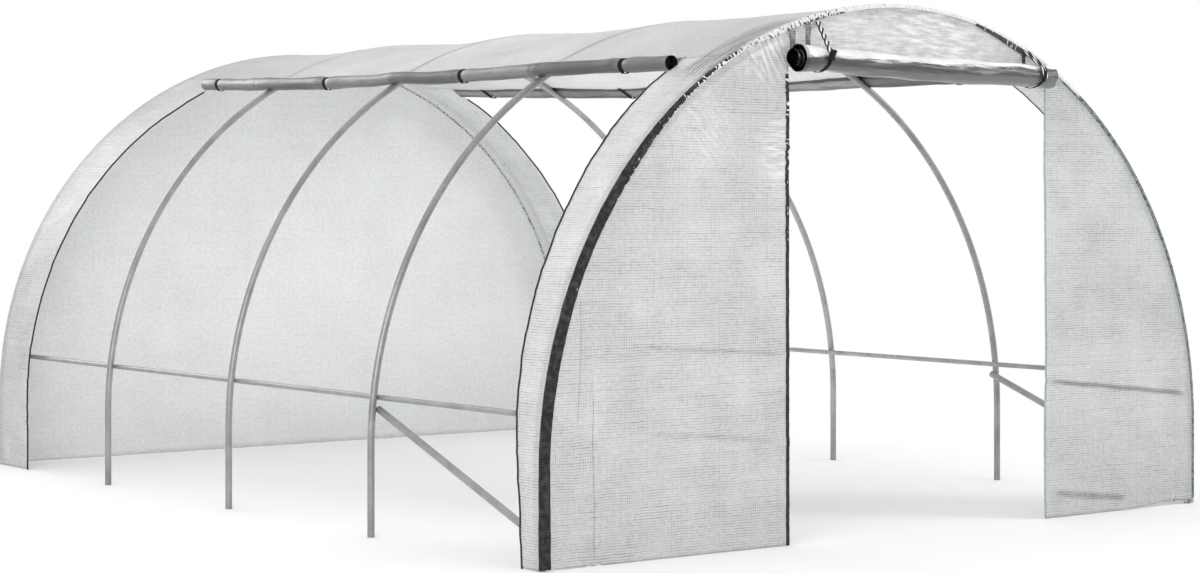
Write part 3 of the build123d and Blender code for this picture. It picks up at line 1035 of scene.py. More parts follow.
@dataclass
class EndWall:
    """The flat end of the tunnel at the doorway: two panels and a half-moon gable, gathered at the arch.

    Each crease has X and Z of its start and its end, its half width and its height.
    """

    tunnel: Tunnel
    finish: Material
    gable_finish: Material
    thickness: float = 1.0 * MM
    door_left: float = -0.5
    door_right: float = 0.7
    creases: tuple[tuple[float, float, float, float, float, float], ...] = (
        (-1.12, 0.676, -0.50, 0.633, 0.010, 1.6 * MM),
        (-1.08, 0.402, -0.50, 0.347, 0.016, 1.4 * MM),
        (0.70, 0.492, 1.08, 0.458, 0.008, 5.0 * MM),
        (1.08, 0.458, 1.46, 0.412, 0.007, 5.5 * MM),
        (0.76, 0.105, 1.08, 0.062, 0.016, 6.0 * MM),
    )

    @property
    def door_head(self) -> float:
        """Height of the gable's lower edge."""
        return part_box("front_gable")[0].z

    def bulge(self, x: Array, z: Array) -> Array:
        """How far the wall stands out in front of its flat place."""
        s, depth = self.tunnel.position(x, z)
        places = [0.0, 0.9, 1.15, 1.6, 1.9, 2.6, 3.1, 3.5, 4.2, 5.3]
        gather = np.interp(s, places, [0.3, 0.5, 0.9, 3.2, 3.6, 1.2, 1.2, 1.2, 0.7, 0.4]) * MM
        at_edge = np.exp(-depth / 0.055) * smooth(depth, 0.012, 0.035)
        gathers = 2.2 * gather * at_edge * Ripples(31, 0.016, 0.06).at(s, 0.12 * depth)
        settled = smooth(depth, 0.0, 0.06)
        broad = 2.4 * MM * (0.7 + Ripples(32, 0.35, 1.0).at(x, z))
        small = 0.45 * MM * Ripples(33, 0.06, 0.2).at(x, z)
        from_door = np.where(x < self.door_left, self.door_left - x, np.maximum(x - self.door_right, 0.0))
        height = np.interp(z, [0.0, 0.9, 1.15, 1.4, 1.6], [0.2, 0.5, 3.0, 2.8, 1.4]) * MM
        beside = np.where(x < self.door_left, 1.0, np.where(x > self.door_right, 0.35, 0.0))
        near = np.exp(-from_door / 0.07)
        puckers = Ripples(34, 0.018, 0.06).at(z, 0.15 * from_door) * near * beside * height
        gable = (z > self.door_head - 0.01) & (x > self.door_left) & (x < self.door_right)
        calm = np.where(gable, 0.3, 1.0)
        total = gathers + puckers + settled * calm * (broad + small)
        for x0, z0, x1, z1, width, rise in self.creases:
            reach, climb = x1 - x0, z1 - z0
            run = np.clip(((x - x0) * reach + (z - z0) * climb) / (reach ** 2 + climb ** 2), 0, 1)
            off = (z - z0 - run * climb) + 4 * MM * Ripples(35, 0.2, 0.6).at(x, z)
            aside = np.abs(x - x0 - run * reach)
            total = total + rise * settled * np.exp(-(off / width) ** 2 - (aside / 0.03) ** 2)
        flap = smooth(x, -1.296, -1.288) * (1 - smooth(x, -1.285, -1.20)) * (1 - smooth(z, 0.55, 0.75))
        return total + 2.5 * MM * np.where(x < self.door_left, flap, 0.0)

    def face(self, x: Array, z: Array, lift: float | Array = 0.0) -> Array:
        """Points on the wall's front face, or lift in front of it."""
        return np.stack([x, self.tunnel.front - self.bulge(x, z) - lift, z], -1)

    def panel(self, name: str, x: Array, low: Array, rows: int) -> Piece:
        """Make one sheet of the wall, from a lower line up to the arch.

        Args:
            name: the piece's name.
            x: the places of its columns.
            low: the height of its lower edge at each column.
            rows: how many rows of points it has.

        Returns:
            The new piece.
        """
        share = 1 - (1 - np.linspace(0, 1, rows)) ** 1.35
        top = self.tunnel.top(x)
        z = low[:, None] + (top - low)[:, None] * share[None, :]
        grid_x = np.broadcast_to(x[:, None], z.shape)
        made = cloth(name, self.face(grid_x, z), np.stack([grid_x + 2.0, z], -1))
        thicken(made, self.thickness)
        return made

    def columns(self, inner: float, outer: float) -> Array:
        """Places of a side panel's columns, closer together towards the arch's foot and the doorway."""
        radius = self.tunnel.radius
        turn = np.linspace(math.acos(min(1.0, outer / radius)), math.acos(inner / radius), 112)
        wide = radius * np.cos(turn)
        return np.unique(np.concatenate([wide, inner + np.linspace(0.0, 0.06, 9)]).round(5))

    def build(self) -> None:
        """Make the two panels and the gable."""
        shape = self.tunnel
        edge = shape.radius - 0.6 * MM
        left = -self.columns(-self.door_left, edge)[::-1]
        low = 2 * MM + 5 * MM * np.exp(-((left + 1.318) / 0.010) ** 2)
        low = low + 26 * MM * np.exp((-1.5 - left) / 0.026)
        low = low + 16 * MM * np.exp(-np.clip(left + 1.296, 0, None) / 0.011) * (left > -1.296)
        right = self.columns(self.door_right, edge)
        waves = Ripples(36, 0.3, 0.7).at(right)
        lift = 2 * MM + 14 * MM * smooth(right, 1.0, 1.45) + 3 * MM * waves
        panels = [
            ("front_panel_left", left, low, 150, "front_wall_left", 1.0),
            ("front_panel_right", right, np.maximum(lift, 1 * MM), 140, "front_wall_right", 0.8),
        ]
        for name, x, lower, rows, node, width in panels:
            made = settle(self.panel(name, x, lower, rows), self.finish, [node])
            area = area_between(x, lower, shape.top(x))
            float(shape.top(x).max())
        x = spaced(self.door_left, self.door_right, 5.5 * MM)
        low = np.full(x.shape, self.door_head)
        made = self.panel("gable_sheet", x, low, 44)
        settle(made, self.gable_finish, ["front_gable"])
        area = area_between(x, low, shape.top(x))
        float(shape.top(x).max() - self.door_head)


@dataclass
class RearWall:
    """The closed end of the tunnel, one whole sheet, with a pocket for each end hoop on the inside."""

    tunnel: Tunnel
    finish: Material
    thickness: float = 1.0 * MM
    pocket_gap: float = 1.8 * MM

    def bulge(self, x: Array, z: Array) -> Array:
        """How far the wall stands out behind its flat place."""
        s, depth = self.tunnel.position(x, z)
        settled = smooth(depth, 0.0, 0.08)
        broad = 3.0 * MM * (0.8 + Ripples(41, 0.4, 1.3).at(x, z))
        small = 0.6 * MM * Ripples(42, 0.08, 0.25).at(x, z)
        at_edge = np.exp(-depth / 0.05) * (1 - np.exp(-depth / 0.01))
        gathers = 2.0 * MM * at_edge * Ripples(43, 0.03, 0.09).at(s, 0.1 * depth)
        return settled * (broad + small) + gathers

    def sheet(self) -> Piece:
        """Make the wall's sheet."""
        shape = self.tunnel
        turn = np.linspace(0.0, math.pi, 131)
        x = -(shape.radius - 0.6 * MM) * np.cos(turn)
        share = 1 - (1 - np.linspace(0, 1, 84)) ** 1.25
        z = 2 * MM + (shape.top(x) - 2 * MM)[:, None] * share[None, :]
        grid_x = np.broadcast_to(x[:, None], z.shape)
        points = np.stack([grid_x, shape.rear + self.bulge(grid_x, z), z], -1)
        made = cloth("rear_sheet", points, np.stack([grid_x + 2.0, z], -1), turned=True)
        thicken(made, self.thickness)
        settle(made, self.finish, ["rear_wall"])
        area = area_between(x, 0 * x, shape.top(x))
        return made

    def pocket(self, end: str, hoop_y: float, wall: float, material: Material) -> Piece:
        """Make the pocket that holds an end hoop: a narrow band from the roof round the tube to the wall.

        Args:
            end: the tunnel's end, front or rear.
            hoop_y: where the hoop's centre line is.
            wall: 1 where the wall is behind the hoop, -1 where it is in front.
            material: its material.

        Returns:
            The new piece.
        """
        shape = self.tunnel
        hold = shape.tube / 2 + self.pocket_gap
        centre = shape.radius - 3.3 * MM - shape.tube / 2
        s = spaced(0.004, shape.girth - 0.004, 0.012)
        turn = np.linspace(0.0, math.pi / 2, 9)
        inward = np.concatenate([[shape.radius - 1.6 * MM - centre], hold * -np.sin(turn), [-hold - 5 * MM]])
        inward[1] = shape.radius - 9 * MM - centre
        across = np.concatenate([[-hold - 9 * MM], -hold * np.cos(turn), [hold]])
        flutter = 0.9 * MM * Ripples(44, 0.02, 0.07).at(s)
        x, z, out_x, out_z = shape.outline(s)
        depth = (centre + inward)[None, :] - shape.radius - flutter[:, None] * np.linspace(0, 1, len(inward))
        y = hoop_y + wall * (across[None, :] + 0 * depth)
        points = np.stack([x[:, None] + depth * out_x[:, None], y, z[:, None] + depth * out_z[:, None]], -1)
        width = travelled(np.stack([inward, across], -1))
        made = cloth(f"{end}_hoop_pocket", points, flat_net(s, width), turned=wall < 0)
        thicken(made, 0.6 * MM, 0.0)
        settle(made, material)
        return made

    def build(self, pocket_finish: Material) -> None:
        """Make the wall and the pockets of the end hoops."""
        self.sheet()
        self.pocket("rear", self.tunnel.last_hoop, 1.0, pocket_finish)
        self.pocket("front", self.tunnel.first_hoop, -1.0, pocket_finish)


@dataclass
class FrontTrim:
    """What edges the front: the black tape, the gathered hem, the faded band at the right, and the zips."""

    wall: EndWall
    tape: Material
    hem: Material
    band: Material
    patch: Material
    zip: Material
    zip_end: Material
    seam: Material

    def profile(self, back: float, down: float, lift: float, steps: int) -> tuple[Array, Array]:
        """The trim's section over the corner of the cover.

        Args:
            back: how far it lies over the cover behind the corner.
            down: how far it lies down the wall's face.
            lift: how far it stands off both.
            steps: how many points lie on the wall's face.

        Returns:
            Distances outside the outline, and in front of the wall's flat place.
        """
        bend = np.linspace(0, math.pi / 2, 5)
        outside = np.concatenate([[lift, lift], lift * np.cos(bend), -np.linspace(3 * MM, down, steps)])
        ahead = np.concatenate([[-back, -0.4 * back], lift * np.sin(bend), np.full(steps, lift)])
        return outside, ahead

    def strip(
        self, name: str, s: Array, section: tuple[Array, Array], ruffle: Callable[[Array, Array], Array],
        kept: float | Array = 1.0,
    ) -> Piece:
        """Run a section along the arch.

        Args:
            name: the piece's name.
            s: places along the outline.
            section: distances outside the outline and in front of the wall.
            ruffle: the height of the gathers at each place along and across the trim.
            kept: how much of its width down the wall it has at each place.

        Returns:
            The new piece.
        """
        shape = self.wall.tunnel
        outside, ahead = section
        x, z, out_x, out_z = shape.outline(s)
        grid_s, grid_w = np.meshgrid(s, travelled(np.stack([outside, ahead], -1)), indexing="ij")
        height = ruffle(grid_s, grid_w)
        on_face = smooth(-outside, 0.0, 2 * MM)[None, :]
        spread = np.broadcast_to(outside, grid_s.shape)
        spread = np.where(spread < 0, spread * np.broadcast_to(kept, s.shape)[:, None], spread)
        level = spread + height * (1 - on_face)
        px = x[:, None] + level * out_x[:, None]
        pz = z[:, None] + level * out_z[:, None]
        bulge = self.wall.bulge(px, pz) * on_face
        py = shape.front - ahead[None, :] - bulge - height * on_face
        made = cloth(name, np.stack([px, py, pz], -1), np.stack([grid_s, grid_w], -1), turned=True)
        thicken(made, 0.8 * MM, 1.0)
        return made

    def tapes(self) -> None:
        """Make the black tape at the left, the gathered hem over the crown and the band at the right."""
        flat = Ripples(51, 0.05, 0.2)
        fine = Ripples(52, 0.012, 0.035)
        coarse = Ripples(53, 0.05, 0.13)
        girth = self.wall.tunnel.girth

        def tape_waves(s: Array, w: Array) -> Array:
            return MM * (0.4 * flat.at(s, w) + smooth(s, 1.2, 1.7) * 0.5 * (1 + fine.at(s, 0.3 * w)))

        def hem_waves(s: Array, w: Array) -> Array:
            strong = np.interp(s, [1.5, 1.8, 2.45, 2.8, 3.6], [0.6, 1.0, 0.8, 0.4, 0.6])
            free = smooth(w, 0.004, 0.02)
            return strong * free * MM * (0.7 * (1 + fine.at(s, 0.45 * w)) + 0.4 * coarse.at(s, w))

        def band_waves(s: Array, w: Array) -> Array:
            return MM * (0.3 * (1 + fine.at(s, 0.4 * w)) + 0.2 * coarse.at(s, w))

        s = spaced(0.004, 2.06, 5 * MM)
        places = [0.0, 0.8, 1.15, 1.35, 1.55, 1.7, 2.06]
        kept = np.interp(s, places, [1.0, 0.92, 0.86, 0.74, 0.48, 0.32, 0.16])
        tape = self.strip("arch_tape", s, self.profile(6 * MM, 38 * MM, 2.0 * MM, 11), tape_waves, kept)
        settle(tape, self.tape, ["front_arch_tape"])
        s = spaced(1.93, 3.60, 3.5 * MM)
        kept = np.interp(s, [1.93, 2.0, 2.08, 2.35, 2.6, 3.60], [0.25, 0.55, 1.0, 0.85, 0.55, 0.45])
        hem = self.strip("arch_hem", s, self.profile(14 * MM, 19 * MM, 3.2 * MM, 10), hem_waves, kept)
        settle(hem, self.hem)
        s = spaced(3.50, girth - 0.022, 5 * MM)
        kept = np.interp(s, [3.5, 4.5, 4.9, 5.3], [1.0, 0.9, 0.75, 0.75])
        band = self.strip("arch_band_right", s, self.profile(4 * MM, 16 * MM, 1.6 * MM, 6), band_waves, kept)
        settle(band, self.band)
        s = spaced(3.02, 3.29, 4 * MM)
        face = (np.array([-9.0, -15.0, -21.0, -28.0]) * MM, np.full(4, 4.4 * MM))
        patch = self.strip("arch_patch_right", s, face, band_waves, np.interp(s, [3.02, 3.20], [0.45, 1.0]))
        settle(patch, self.patch)

    def upright(self, name: str, x: float, low: float, high: float, width: float, waves: float) -> Piece:
        """Make a tape that stands on the wall's face.

        Args:
            name: the piece's name.
            x: its left edge.
            low: the height of its foot.
            high: the height of its top.
            width: its width.
            waves: the height of its puckers.

        Returns:
            The new piece.
        """
        z = spaced(low, high, 4 * MM)
        across = np.linspace(0, width, 6)
        grid_z, grid_w = np.meshgrid(z, across, indexing="ij")
        sway = 1.0 * MM * Ripples(54, 0.15, 0.5).at(grid_z)
        lift = 2.2 * MM + waves * (1 + Ripples(55, 0.014, 0.04).at(grid_z, 0.3 * grid_w)) * 0.5
        points = self.wall.face(x + grid_w + sway, grid_z, lift)
        made = cloth(name, points, np.stack([grid_z, grid_w], -1), turned=True)
        thicken(made, 0.8 * MM, 1.0)
        return made

    def zips(self) -> None:
        """Make the zip halves beside the doorway and the two zip ends above the roll."""
        wall = self.wall
        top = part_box("door_zip_left")[1].z + 0.03
        left = self.upright("door_zip_half_left", wall.door_left - 13 * MM, 2 * MM, top, 14 * MM, 0.8 * MM)
        settle(left, self.zip, ["door_zip_left"])
        right = self.upright("door_zip_half_right", wall.door_right - 1 * MM, 4 * MM, top, 8 * MM, 0.3 * MM)
        settle(right, self.seam, ["door_zip_right"])
        head = wall.door_head
        outer_top, inner_top = wall.tunnel.top(np.array([-0.5, -0.41])) - 18 * MM
        ends = [
            ("zip_end_outer", -0.494, 24 * MM, head + 36 * MM, float(outer_top)),
            ("zip_end_inner", -0.424, 20 * MM, head + 42 * MM, float(inner_top)),
            ("zip_end_right", 0.588, 15 * MM, 1.616, 1.655),
        ]
        for name, x, width, low, high in ends:
            piece = self.upright(name, x, low, high, width, 0.4 * MM)
            settle(piece, self.patch if name == "zip_end_right" else self.zip_end)

    def build(self) -> None:
        """Make all the trim."""
        self.tapes()
        self.zips()


@dataclass
class Roll:
    """A curtain rolled up into a long roll, in turns that all show at its open ends.

    Its drop is the curtain's whole length, wound from the radius down to the core. The outer turn starts in
    the first direction, and a quarter turn on it is in the second. The turns that lie deeper than the lobe, a
    share of the radius, slide out at each end by the telescope's two lengths. Rows of points lie closer
    together round the fine places.
    """

    name: str
    node: str
    start: float
    end: float
    radius: float
    core: float
    drop: float
    step: float
    centre: Callable[[Array], Array]
    along: Place
    first: Array
    second: Array
    swell: Callable[[Array, Array], Array]
    telescope: tuple[float, float] = (0.0, 0.0)
    lobe: float = 0.0
    fray: float = 1.6 * MM
    flap: Callable[[Array], Array] | None = None
    fine: tuple[float, ...] = ()

    def turns(self) -> Array:
        """Angles along the whole spiral, closer together on the outer turn. A flap adds a short lead-in."""
        pitch = math.pi * (self.radius ** 2 - self.core ** 2) / self.drop
        total = 2 * math.pi * (self.radius - self.core) / pitch
        angles = list(np.linspace(0, 2 * math.pi, 64, endpoint=False))
        if self.flap:
            angles = [-0.3, -0.15, *angles]
        here = 2 * math.pi
        while here < total:
            angles.append(here)
            radius = self.radius - pitch * here / (2 * math.pi)
            here += max(6.5 * MM / max(radius, 2 * MM), 0.2)
        return np.array([*angles, total])

    def build(self, material: Material, rests_on: Sequence[str]) -> Piece:
        """Make the roll.

        Args:
            material: its material.
            rests_on: the pieces that hold it; not used.

        Returns:
            The new piece.
        """
        pitch = math.pi * (self.radius ** 2 - self.core ** 2) / self.drop
        angle = self.turns()
        size = self.radius - pitch * angle / (2 * math.pi)
        length = self.radius * angle - pitch * angle ** 2 / (4 * math.pi)
        places = [spaced(self.start, self.end, self.step)]
        places += [at + np.linspace(-0.06, 0.06, 13) for at in self.fine]
        t = np.unique(np.concatenate(places).round(4))
        t = t[(t >= self.start) & (t <= self.end)]
        grid_t, grid_a = np.meshgrid(t, angle, indexing="ij")
        inner = (1 - size / self.radius)[None, :]
        share = (grid_t - self.start) / (self.end - self.start)
        slide = self.telescope[1] * share ** 8 - self.telescope[0] * (1 - share) ** 8
        moved = grid_t + slide * smooth(inner, self.lobe, self.lobe + 0.12)
        ends = share ** 60 + (1 - share) ** 60
        moved = moved + self.fray * ends * Ripples(64, 0.04, 0.2).at(length)[None, :]
        grown = size[None, :] * (1 + self.swell(grid_t, grid_a))
        middle = self.centre(t)[:, None, :]
        out = np.cos(grid_a)[..., None] * self.first + np.sin(grid_a)[..., None] * self.second
        points = middle + grown[..., None] * out
        points = points + (moved - grid_t)[..., None] * np.array(self.along)
        metres = np.stack([grid_t - self.start, np.broadcast_to(length[None, :], grid_t.shape)], -1)
        if self.flap:
            top = self.flap(t)[:, None, :]
            points = np.concatenate([top, 0.5 * (top + points[:, :1]), points], 1)
            reach = np.linalg.norm(points[:, 1:2] - top, axis=-1)[..., None]
            lead = [metres[:, :1] - reach * (0.0, steps) for steps in (2.0, 1.0)]
            metres = np.concatenate([*lead, metres], 1)
        made = cloth(self.name, points, metres)
        settle(made, material, [self.node])
        return made


@dataclass
class SideRolls:
    """The two side curtains, rolled up along the lower edge of the roof and tied in every bay."""

    tunnel: Tunnel
    finish: Material
    strap: Material
    radius: float = 25 * MM
    strap_width: float = 21 * MM
    strap_thickness: float = 2 * MM
    pinch: float = 0.13
    drop: float = 8 * MM
    seams: tuple[float, float] = (-0.925, 1.125)
    short: dict[Side, float] = field(default_factory=lambda: {Side.LEFT: 0.10, Side.RIGHT: 0.0})

    def directions(self, side: Side) -> tuple[Array, Array]:
        """The outward direction at the roll, and the direction down the slope."""
        turn = self.tunnel.roll_angle
        outward = np.array([side.value * math.cos(turn), 0.0, math.sin(turn)])
        down = np.array([side.value * math.sin(turn), 0.0, -math.cos(turn)])
        return outward, down

    def ties(self) -> Array:
        """Places of the straps, one in the middle of each bay."""
        shape = self.tunnel
        return shape.first_hoop + shape.bay * (np.arange(shape.bays) + 0.5)

    def from_foot(self, side: Side, s: Array) -> Array:
        """Turn a distance from a side's own foot to one along the outline from the left foot."""
        return s if side is Side.LEFT else self.tunnel.girth - s

    def line(self, side: Side, y: Array) -> Array:
        """The roll's centre line: it hangs a little below the roof's edge, and lower between the straps."""
        shape = self.tunnel
        s = self.from_foot(side, shape.roll_line + shape.raised(y))
        outward, _ = self.directions(side)
        x, z, _, _ = shape.outline(s)
        part = (y - shape.first_hoop) / shape.bay
        hang = 2 * MM * (1 + np.cos(2 * math.pi * part)) + 1.5 * MM * Ripples(61, 0.3, 0.9).at(y)
        out = self.radius + 0.6 * MM - 0.75 * shape.sink(s, y)
        base = np.stack([x, y, z - self.drop - hang], -1)
        return base + out[:, None] * outward

    def foot_line(self, side: Side, y: Array) -> Array:
        """Where the straps are sewn to the roof sheet, along the outline."""
        return self.from_foot(side, self.tunnel.roll_line + self.tunnel.raised(y) + 0.027)

    def flap(self, side: Side, y: Array) -> Array:
        """The roof's edge, from which the curtain leads into its roll."""
        return self.tunnel.skin(self.from_foot(side, self.tunnel.edge_line(y)), y, 0.3 * MM)

    def swell(self, t: Array, turn: Array) -> Array:
        """How much thicker the roll is here: pinched at the straps, lobed between them and creased."""
        off = np.min(np.abs(t[..., None] - self.ties()), -1)
        lobes = 0.05 * Ripples(62, 0.25, 0.8).at(t)
        pinched = -self.pinch * np.exp(-(off / 0.022) ** 2) + 0.05 * np.exp(-((off - 0.06) / 0.04) ** 2)
        seam = np.min(np.abs(t[..., None] - np.array(self.seams)), -1)
        stitched = -0.035 * np.exp(-(seam / 0.012) ** 2)
        around = self.radius * turn
        creases = 0.034 * Ripples(63, 0.02, 0.06).at(0.10 * t, around % (2 * math.pi * self.radius))
        loose = lobes + creases * (1 - np.exp(-(np.sin(turn / 2) / 0.25) ** 2))
        return loose * (1 - np.exp(-(off / 0.03) ** 2)) + pinched + stitched

    def straps(self, side: Side) -> list[Piece]:
        """Make the straps of one side: each runs from inside the roof under the roll and back over it."""
        outward, down = self.directions(side)
        made = []
        for number, tie in enumerate(self.ties()):
            y = tie + np.linspace(-0.5, 0.5, 5) * self.strap_width
            centre = self.line(side, y)
            hold = self.radius * (1 - self.pinch) + 1.6 * MM
            turn = np.linspace(0.0, math.radians(300), 48)
            reach = hold + (self.radius + 3 * MM - hold) * smooth(np.cos(turn), 0.2, 0.8)
            inside = -reach[0] * outward - np.linspace(0.072, 0.006, 10)[:, None] * down
            ring = reach[:, None] * (-np.cos(turn)[:, None] * outward + np.sin(turn)[:, None] * down)
            tie = np.array([tie])
            seat = self.tunnel.skin(self.foot_line(side, tie), tie, 0.8 * MM)[0] - centre[2]
            seat = seat * (1.0, 0.0, 1.0)
            points = np.concatenate([inside, ring, seat[None, :], (seat - 0.014 * down)[None, :]])
            net = centre[None, :, :] + points[:, None, :]
            metres = flat_net(travelled(points), y - y[0])
            piece = cloth(f"side_strap_{side.word}_{number + 1}", net, metres, turned=side is Side.LEFT)
            thicken(piece, self.strap_thickness, 0.0)
            apply_modifier(piece, "BEVEL", width=0.5 * MM, segments=2, limit_method="ANGLE")
            settle(piece, self.strap, [f"side_ties_{side.word}"] if number == 0 else [])
            made.append(piece)
        return made

    def build(self) -> None:
        """Make both rolls and their straps."""
        for side in Side:
            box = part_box(f"side_roll_{side.word}")
            outward, down = self.directions(side)
            names = [piece.name for piece in self.straps(side)]
            roll = Roll(
                name=f"side_curtain_{side.word}", node=f"side_roll_{side.word}",
                start=box[0].y + 0.03, end=box[1].y - self.short[side], radius=self.radius, core=3 * MM,
                drop=self.tunnel.roll_line, step=0.026, centre=partial(self.line, side),
                along=(0.0, 1.0, 0.0), first=-outward, second=down, swell=self.swell,
                flap=partial(self.flap, side), fine=(*self.ties(), *self.seams),
            )
            made = roll.build(self.finish, ["roof_sheet", *names])
            if side is Side.LEFT:
                made.data.flip_normals()


@dataclass(frozen=True)
class DoorTie:
    """One tie of the door roll: where its strands leave the hem and reach the roll, and how they look."""

    word: str
    tops: tuple[float, ...]
    top_z: float
    foot_x: float
    foot_degrees: float
    turns: float
    width: float
    knot: float
    nodes: tuple[str, ...] = ()


@dataclass
class DoorRoll:
    """The door curtain, rolled up under the gable, with the ends of its inner turns painted dark as the shade
    in its open ends, and its two ties.
    """

    wall: EndWall
    finish: Material
    strap: Material
    twist: Material
    moulding: Material
    radius: float = 42 * MM
    core: float = 6 * MM
    drop: float = 1.53
    stand_off: float = 3 * MM
    tilt: tuple[float, float] = (22 * MM, -11 * MM)
    strap_gap: float = 3 * MM
    twist_pattern: float = 10 * MM
    ties: tuple[DoorTie, ...] = (
        DoorTie("left", (-0.376,), 1.728, -0.392, 168, 2.5, 17 * MM, 36 * MM, ("door_ties",)),
        DoorTie("right", (0.596, 0.612), 1.660, 0.604, 196, 1.4, 10 * MM, 20 * MM),
    )

    @property
    def middle(self) -> tuple[float, float]:
        """Y and Z of the roll's centre line."""
        low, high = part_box("door_roll")
        return (low.y + high.y) / 2 - self.stand_off, (low.z + high.z) / 2

    def line(self, x: Array) -> Array:
        """The roll's centre line, tied higher at the left and sagging a little between its ties."""
        y, z = self.middle
        span = smooth(x, -0.5, 0.1) * (1 - smooth(x, 0.1, 0.7))
        lean = np.interp(x, [-0.5, 0.7], self.tilt)
        waves = 1.2 * MM * Ripples(71, 0.2, 0.6).at(x)
        return np.stack([x, y - 1.5 * MM * span, z + lean - 5 * MM * span + waves], -1)

    def swell(self, t: Array, turn: Array) -> Array:
        """How much thicker the roll is here."""
        around = (self.radius * turn) % (2 * math.pi * self.radius)
        lobes = 0.035 * Ripples(72, 0.2, 0.7).at(t)
        creases = 0.036 * Ripples(73, 0.025, 0.07).at(0.14 * t, around)
        tied = -0.06 * np.exp(-((t + 0.375) / 0.03) ** 2) - 0.07 * np.exp(-((t - 0.595) / 0.03) ** 2)
        flared = 0.15 * smooth(-t, 0.36, 0.50)
        calm = 1 - 0.8 * smooth(-t, 0.42, 0.49)
        return calm * (lobes + creases * (1 - np.exp(-(np.sin(turn / 2) / 0.2) ** 2))) + tied + flared

    def curtain(self) -> Piece:
        """Make the roll itself."""
        low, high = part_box("door_roll")
        roll = Roll(
            name="door_curtain", node="door_roll", start=low.x + 12 * MM, end=high.x - 34 * MM,
            radius=self.radius, core=self.core, drop=self.drop, step=0.011, centre=self.line,
            along=(1.0, 0.0, 0.0), first=np.array([0.0, 1.0, 0.0]), second=np.array([0.0, 0.0, -1.0]),
            swell=self.swell, telescope=(24 * MM, 5 * MM), lobe=0.28,
        )
        return roll.build(self.finish, ["gable_sheet", "door_tie_left", "door_tie_right"])

    def around(self, x: float, angle: Array, out: float) -> Array:
        """Points round the roll at a place along it, by the angle from the back over the top to the front."""
        _, y, z = self.line(np.array([x]))[0]
        hold = self.radius + out
        return np.stack([np.full(angle.shape, x), y + hold * np.cos(angle), z + hold * np.sin(angle)], -1)

    def route(self, top: Array, foot_x: float, foot_angle: float) -> Array:
        """Lay a tie straight from the hem to the roll, and then round its front.

        Args:
            top: where the tie leaves the hem.
            foot_x: where its lower end lies along the roll.
            foot_angle: how far round the roll it goes.

        Returns:
            Points along the tie.
        """
        _, y, z = self.line(np.array([foot_x]))[0]
        away = math.hypot(top[1] - y, top[2] - z)
        meets = math.atan2(top[2] - z, top[1] - y) + math.acos((self.radius + self.strap_gap) / away)
        arc = self.around(foot_x, np.linspace(meets, max(foot_angle, meets + 0.05), 24), self.strap_gap)
        share = np.linspace(0, 1, 40, endpoint=False)[:, None]
        points = np.concatenate([top + share * (arc[0] - top), arc])
        length = travelled(points)
        points[:, 0] = top[0] + (foot_x - top[0]) * length / length[-1]
        return points

    def twisted(self, name: str, line: Array, turns: float, width: float, phase: float) -> Piece:
        """Make a strap that is twisted along a line.

        Args:
            name: the piece's name.
            line: the points that it follows.
            turns: how many times it twists.
            width: its width.
            phase: the angle that it starts at.

        Returns:
            The new piece.
        """
        length = travelled(line)
        down = np.gradient(line, axis=0)
        down /= np.linalg.norm(down, axis=1)[:, None]
        aside = np.array([1.0, 0.0, 0.0]) - down * down[:, :1]
        aside /= np.linalg.norm(aside, axis=1)[:, None]
        ahead = np.cross(down, aside)
        turn = phase + length / length[-1] * turns * 2 * math.pi
        across = np.cos(turn)[:, None] * aside + np.sin(turn)[:, None] * ahead
        share = np.linspace(-0.5, 0.5, 6)
        points = line[:, None] + (share * width)[None, :, None] * across[:, None]
        made = cloth(name, points, flat_net(length, (share + 0.5) * self.twist_pattern))
        thicken(made, 4.5 * MM, 0.0)
        return settle(made, self.twist)

    def loop(self, name: str, x: float, foot_angle: float, nodes: Sequence[str]) -> Piece:
        """Make the black strap that runs on from a tie's foot, under the roll and up behind it."""
        angle = np.linspace(foot_angle, math.radians(430), 48)
        slide = -0.024 * smooth(angle, foot_angle, math.radians(290))
        ring = self.around(x, angle, 1.6 * MM)
        ring[:, 0] += slide
        over = np.linspace(-0.5, 0.5, 5) * 11 * MM
        points = ring[:, None] + over[None, :, None] * np.array([1.0, 0.0, 0.0])
        made = cloth(name, points, flat_net(self.radius * angle, over - over[0]))
        thicken(made, 1.6 * MM, 0.0)
        return settle(made, self.strap, nodes)

    def toggle(self, name: str, at: Array, size: float, lean: float) -> Piece:
        """Model the black toggle that holds a tie: a waisted bar with two collars."""
        deselect()
        bpy.ops.mesh.primitive_cylinder_add(vertices=20, radius=0.36 * size, depth=size, location=(0, 0, 0))
        made = bpy.context.object
        made.name = name
        subdivide(1)
        for vertex in made.data.vertices:
            vertex.select = abs(vertex.co.z) < 0.1 * size
        bpy.ops.object.mode_set(mode="EDIT")
        bpy.ops.transform.resize(value=(0.62, 0.62, 1.0))
        bpy.ops.object.mode_set(mode="OBJECT")
        apply_modifier(made, "BEVEL", width=0.1 * size, segments=2, limit_method="ANGLE")
        apply_modifier(made, "SUBSURF", levels=2, render_levels=2)
        made.data.transform(Matrix.Translation(Vector(at)) @ Matrix.Rotation(lean, 4, "Y"))
        made.data.shade_smooth()
        return settle(made, self.moulding)

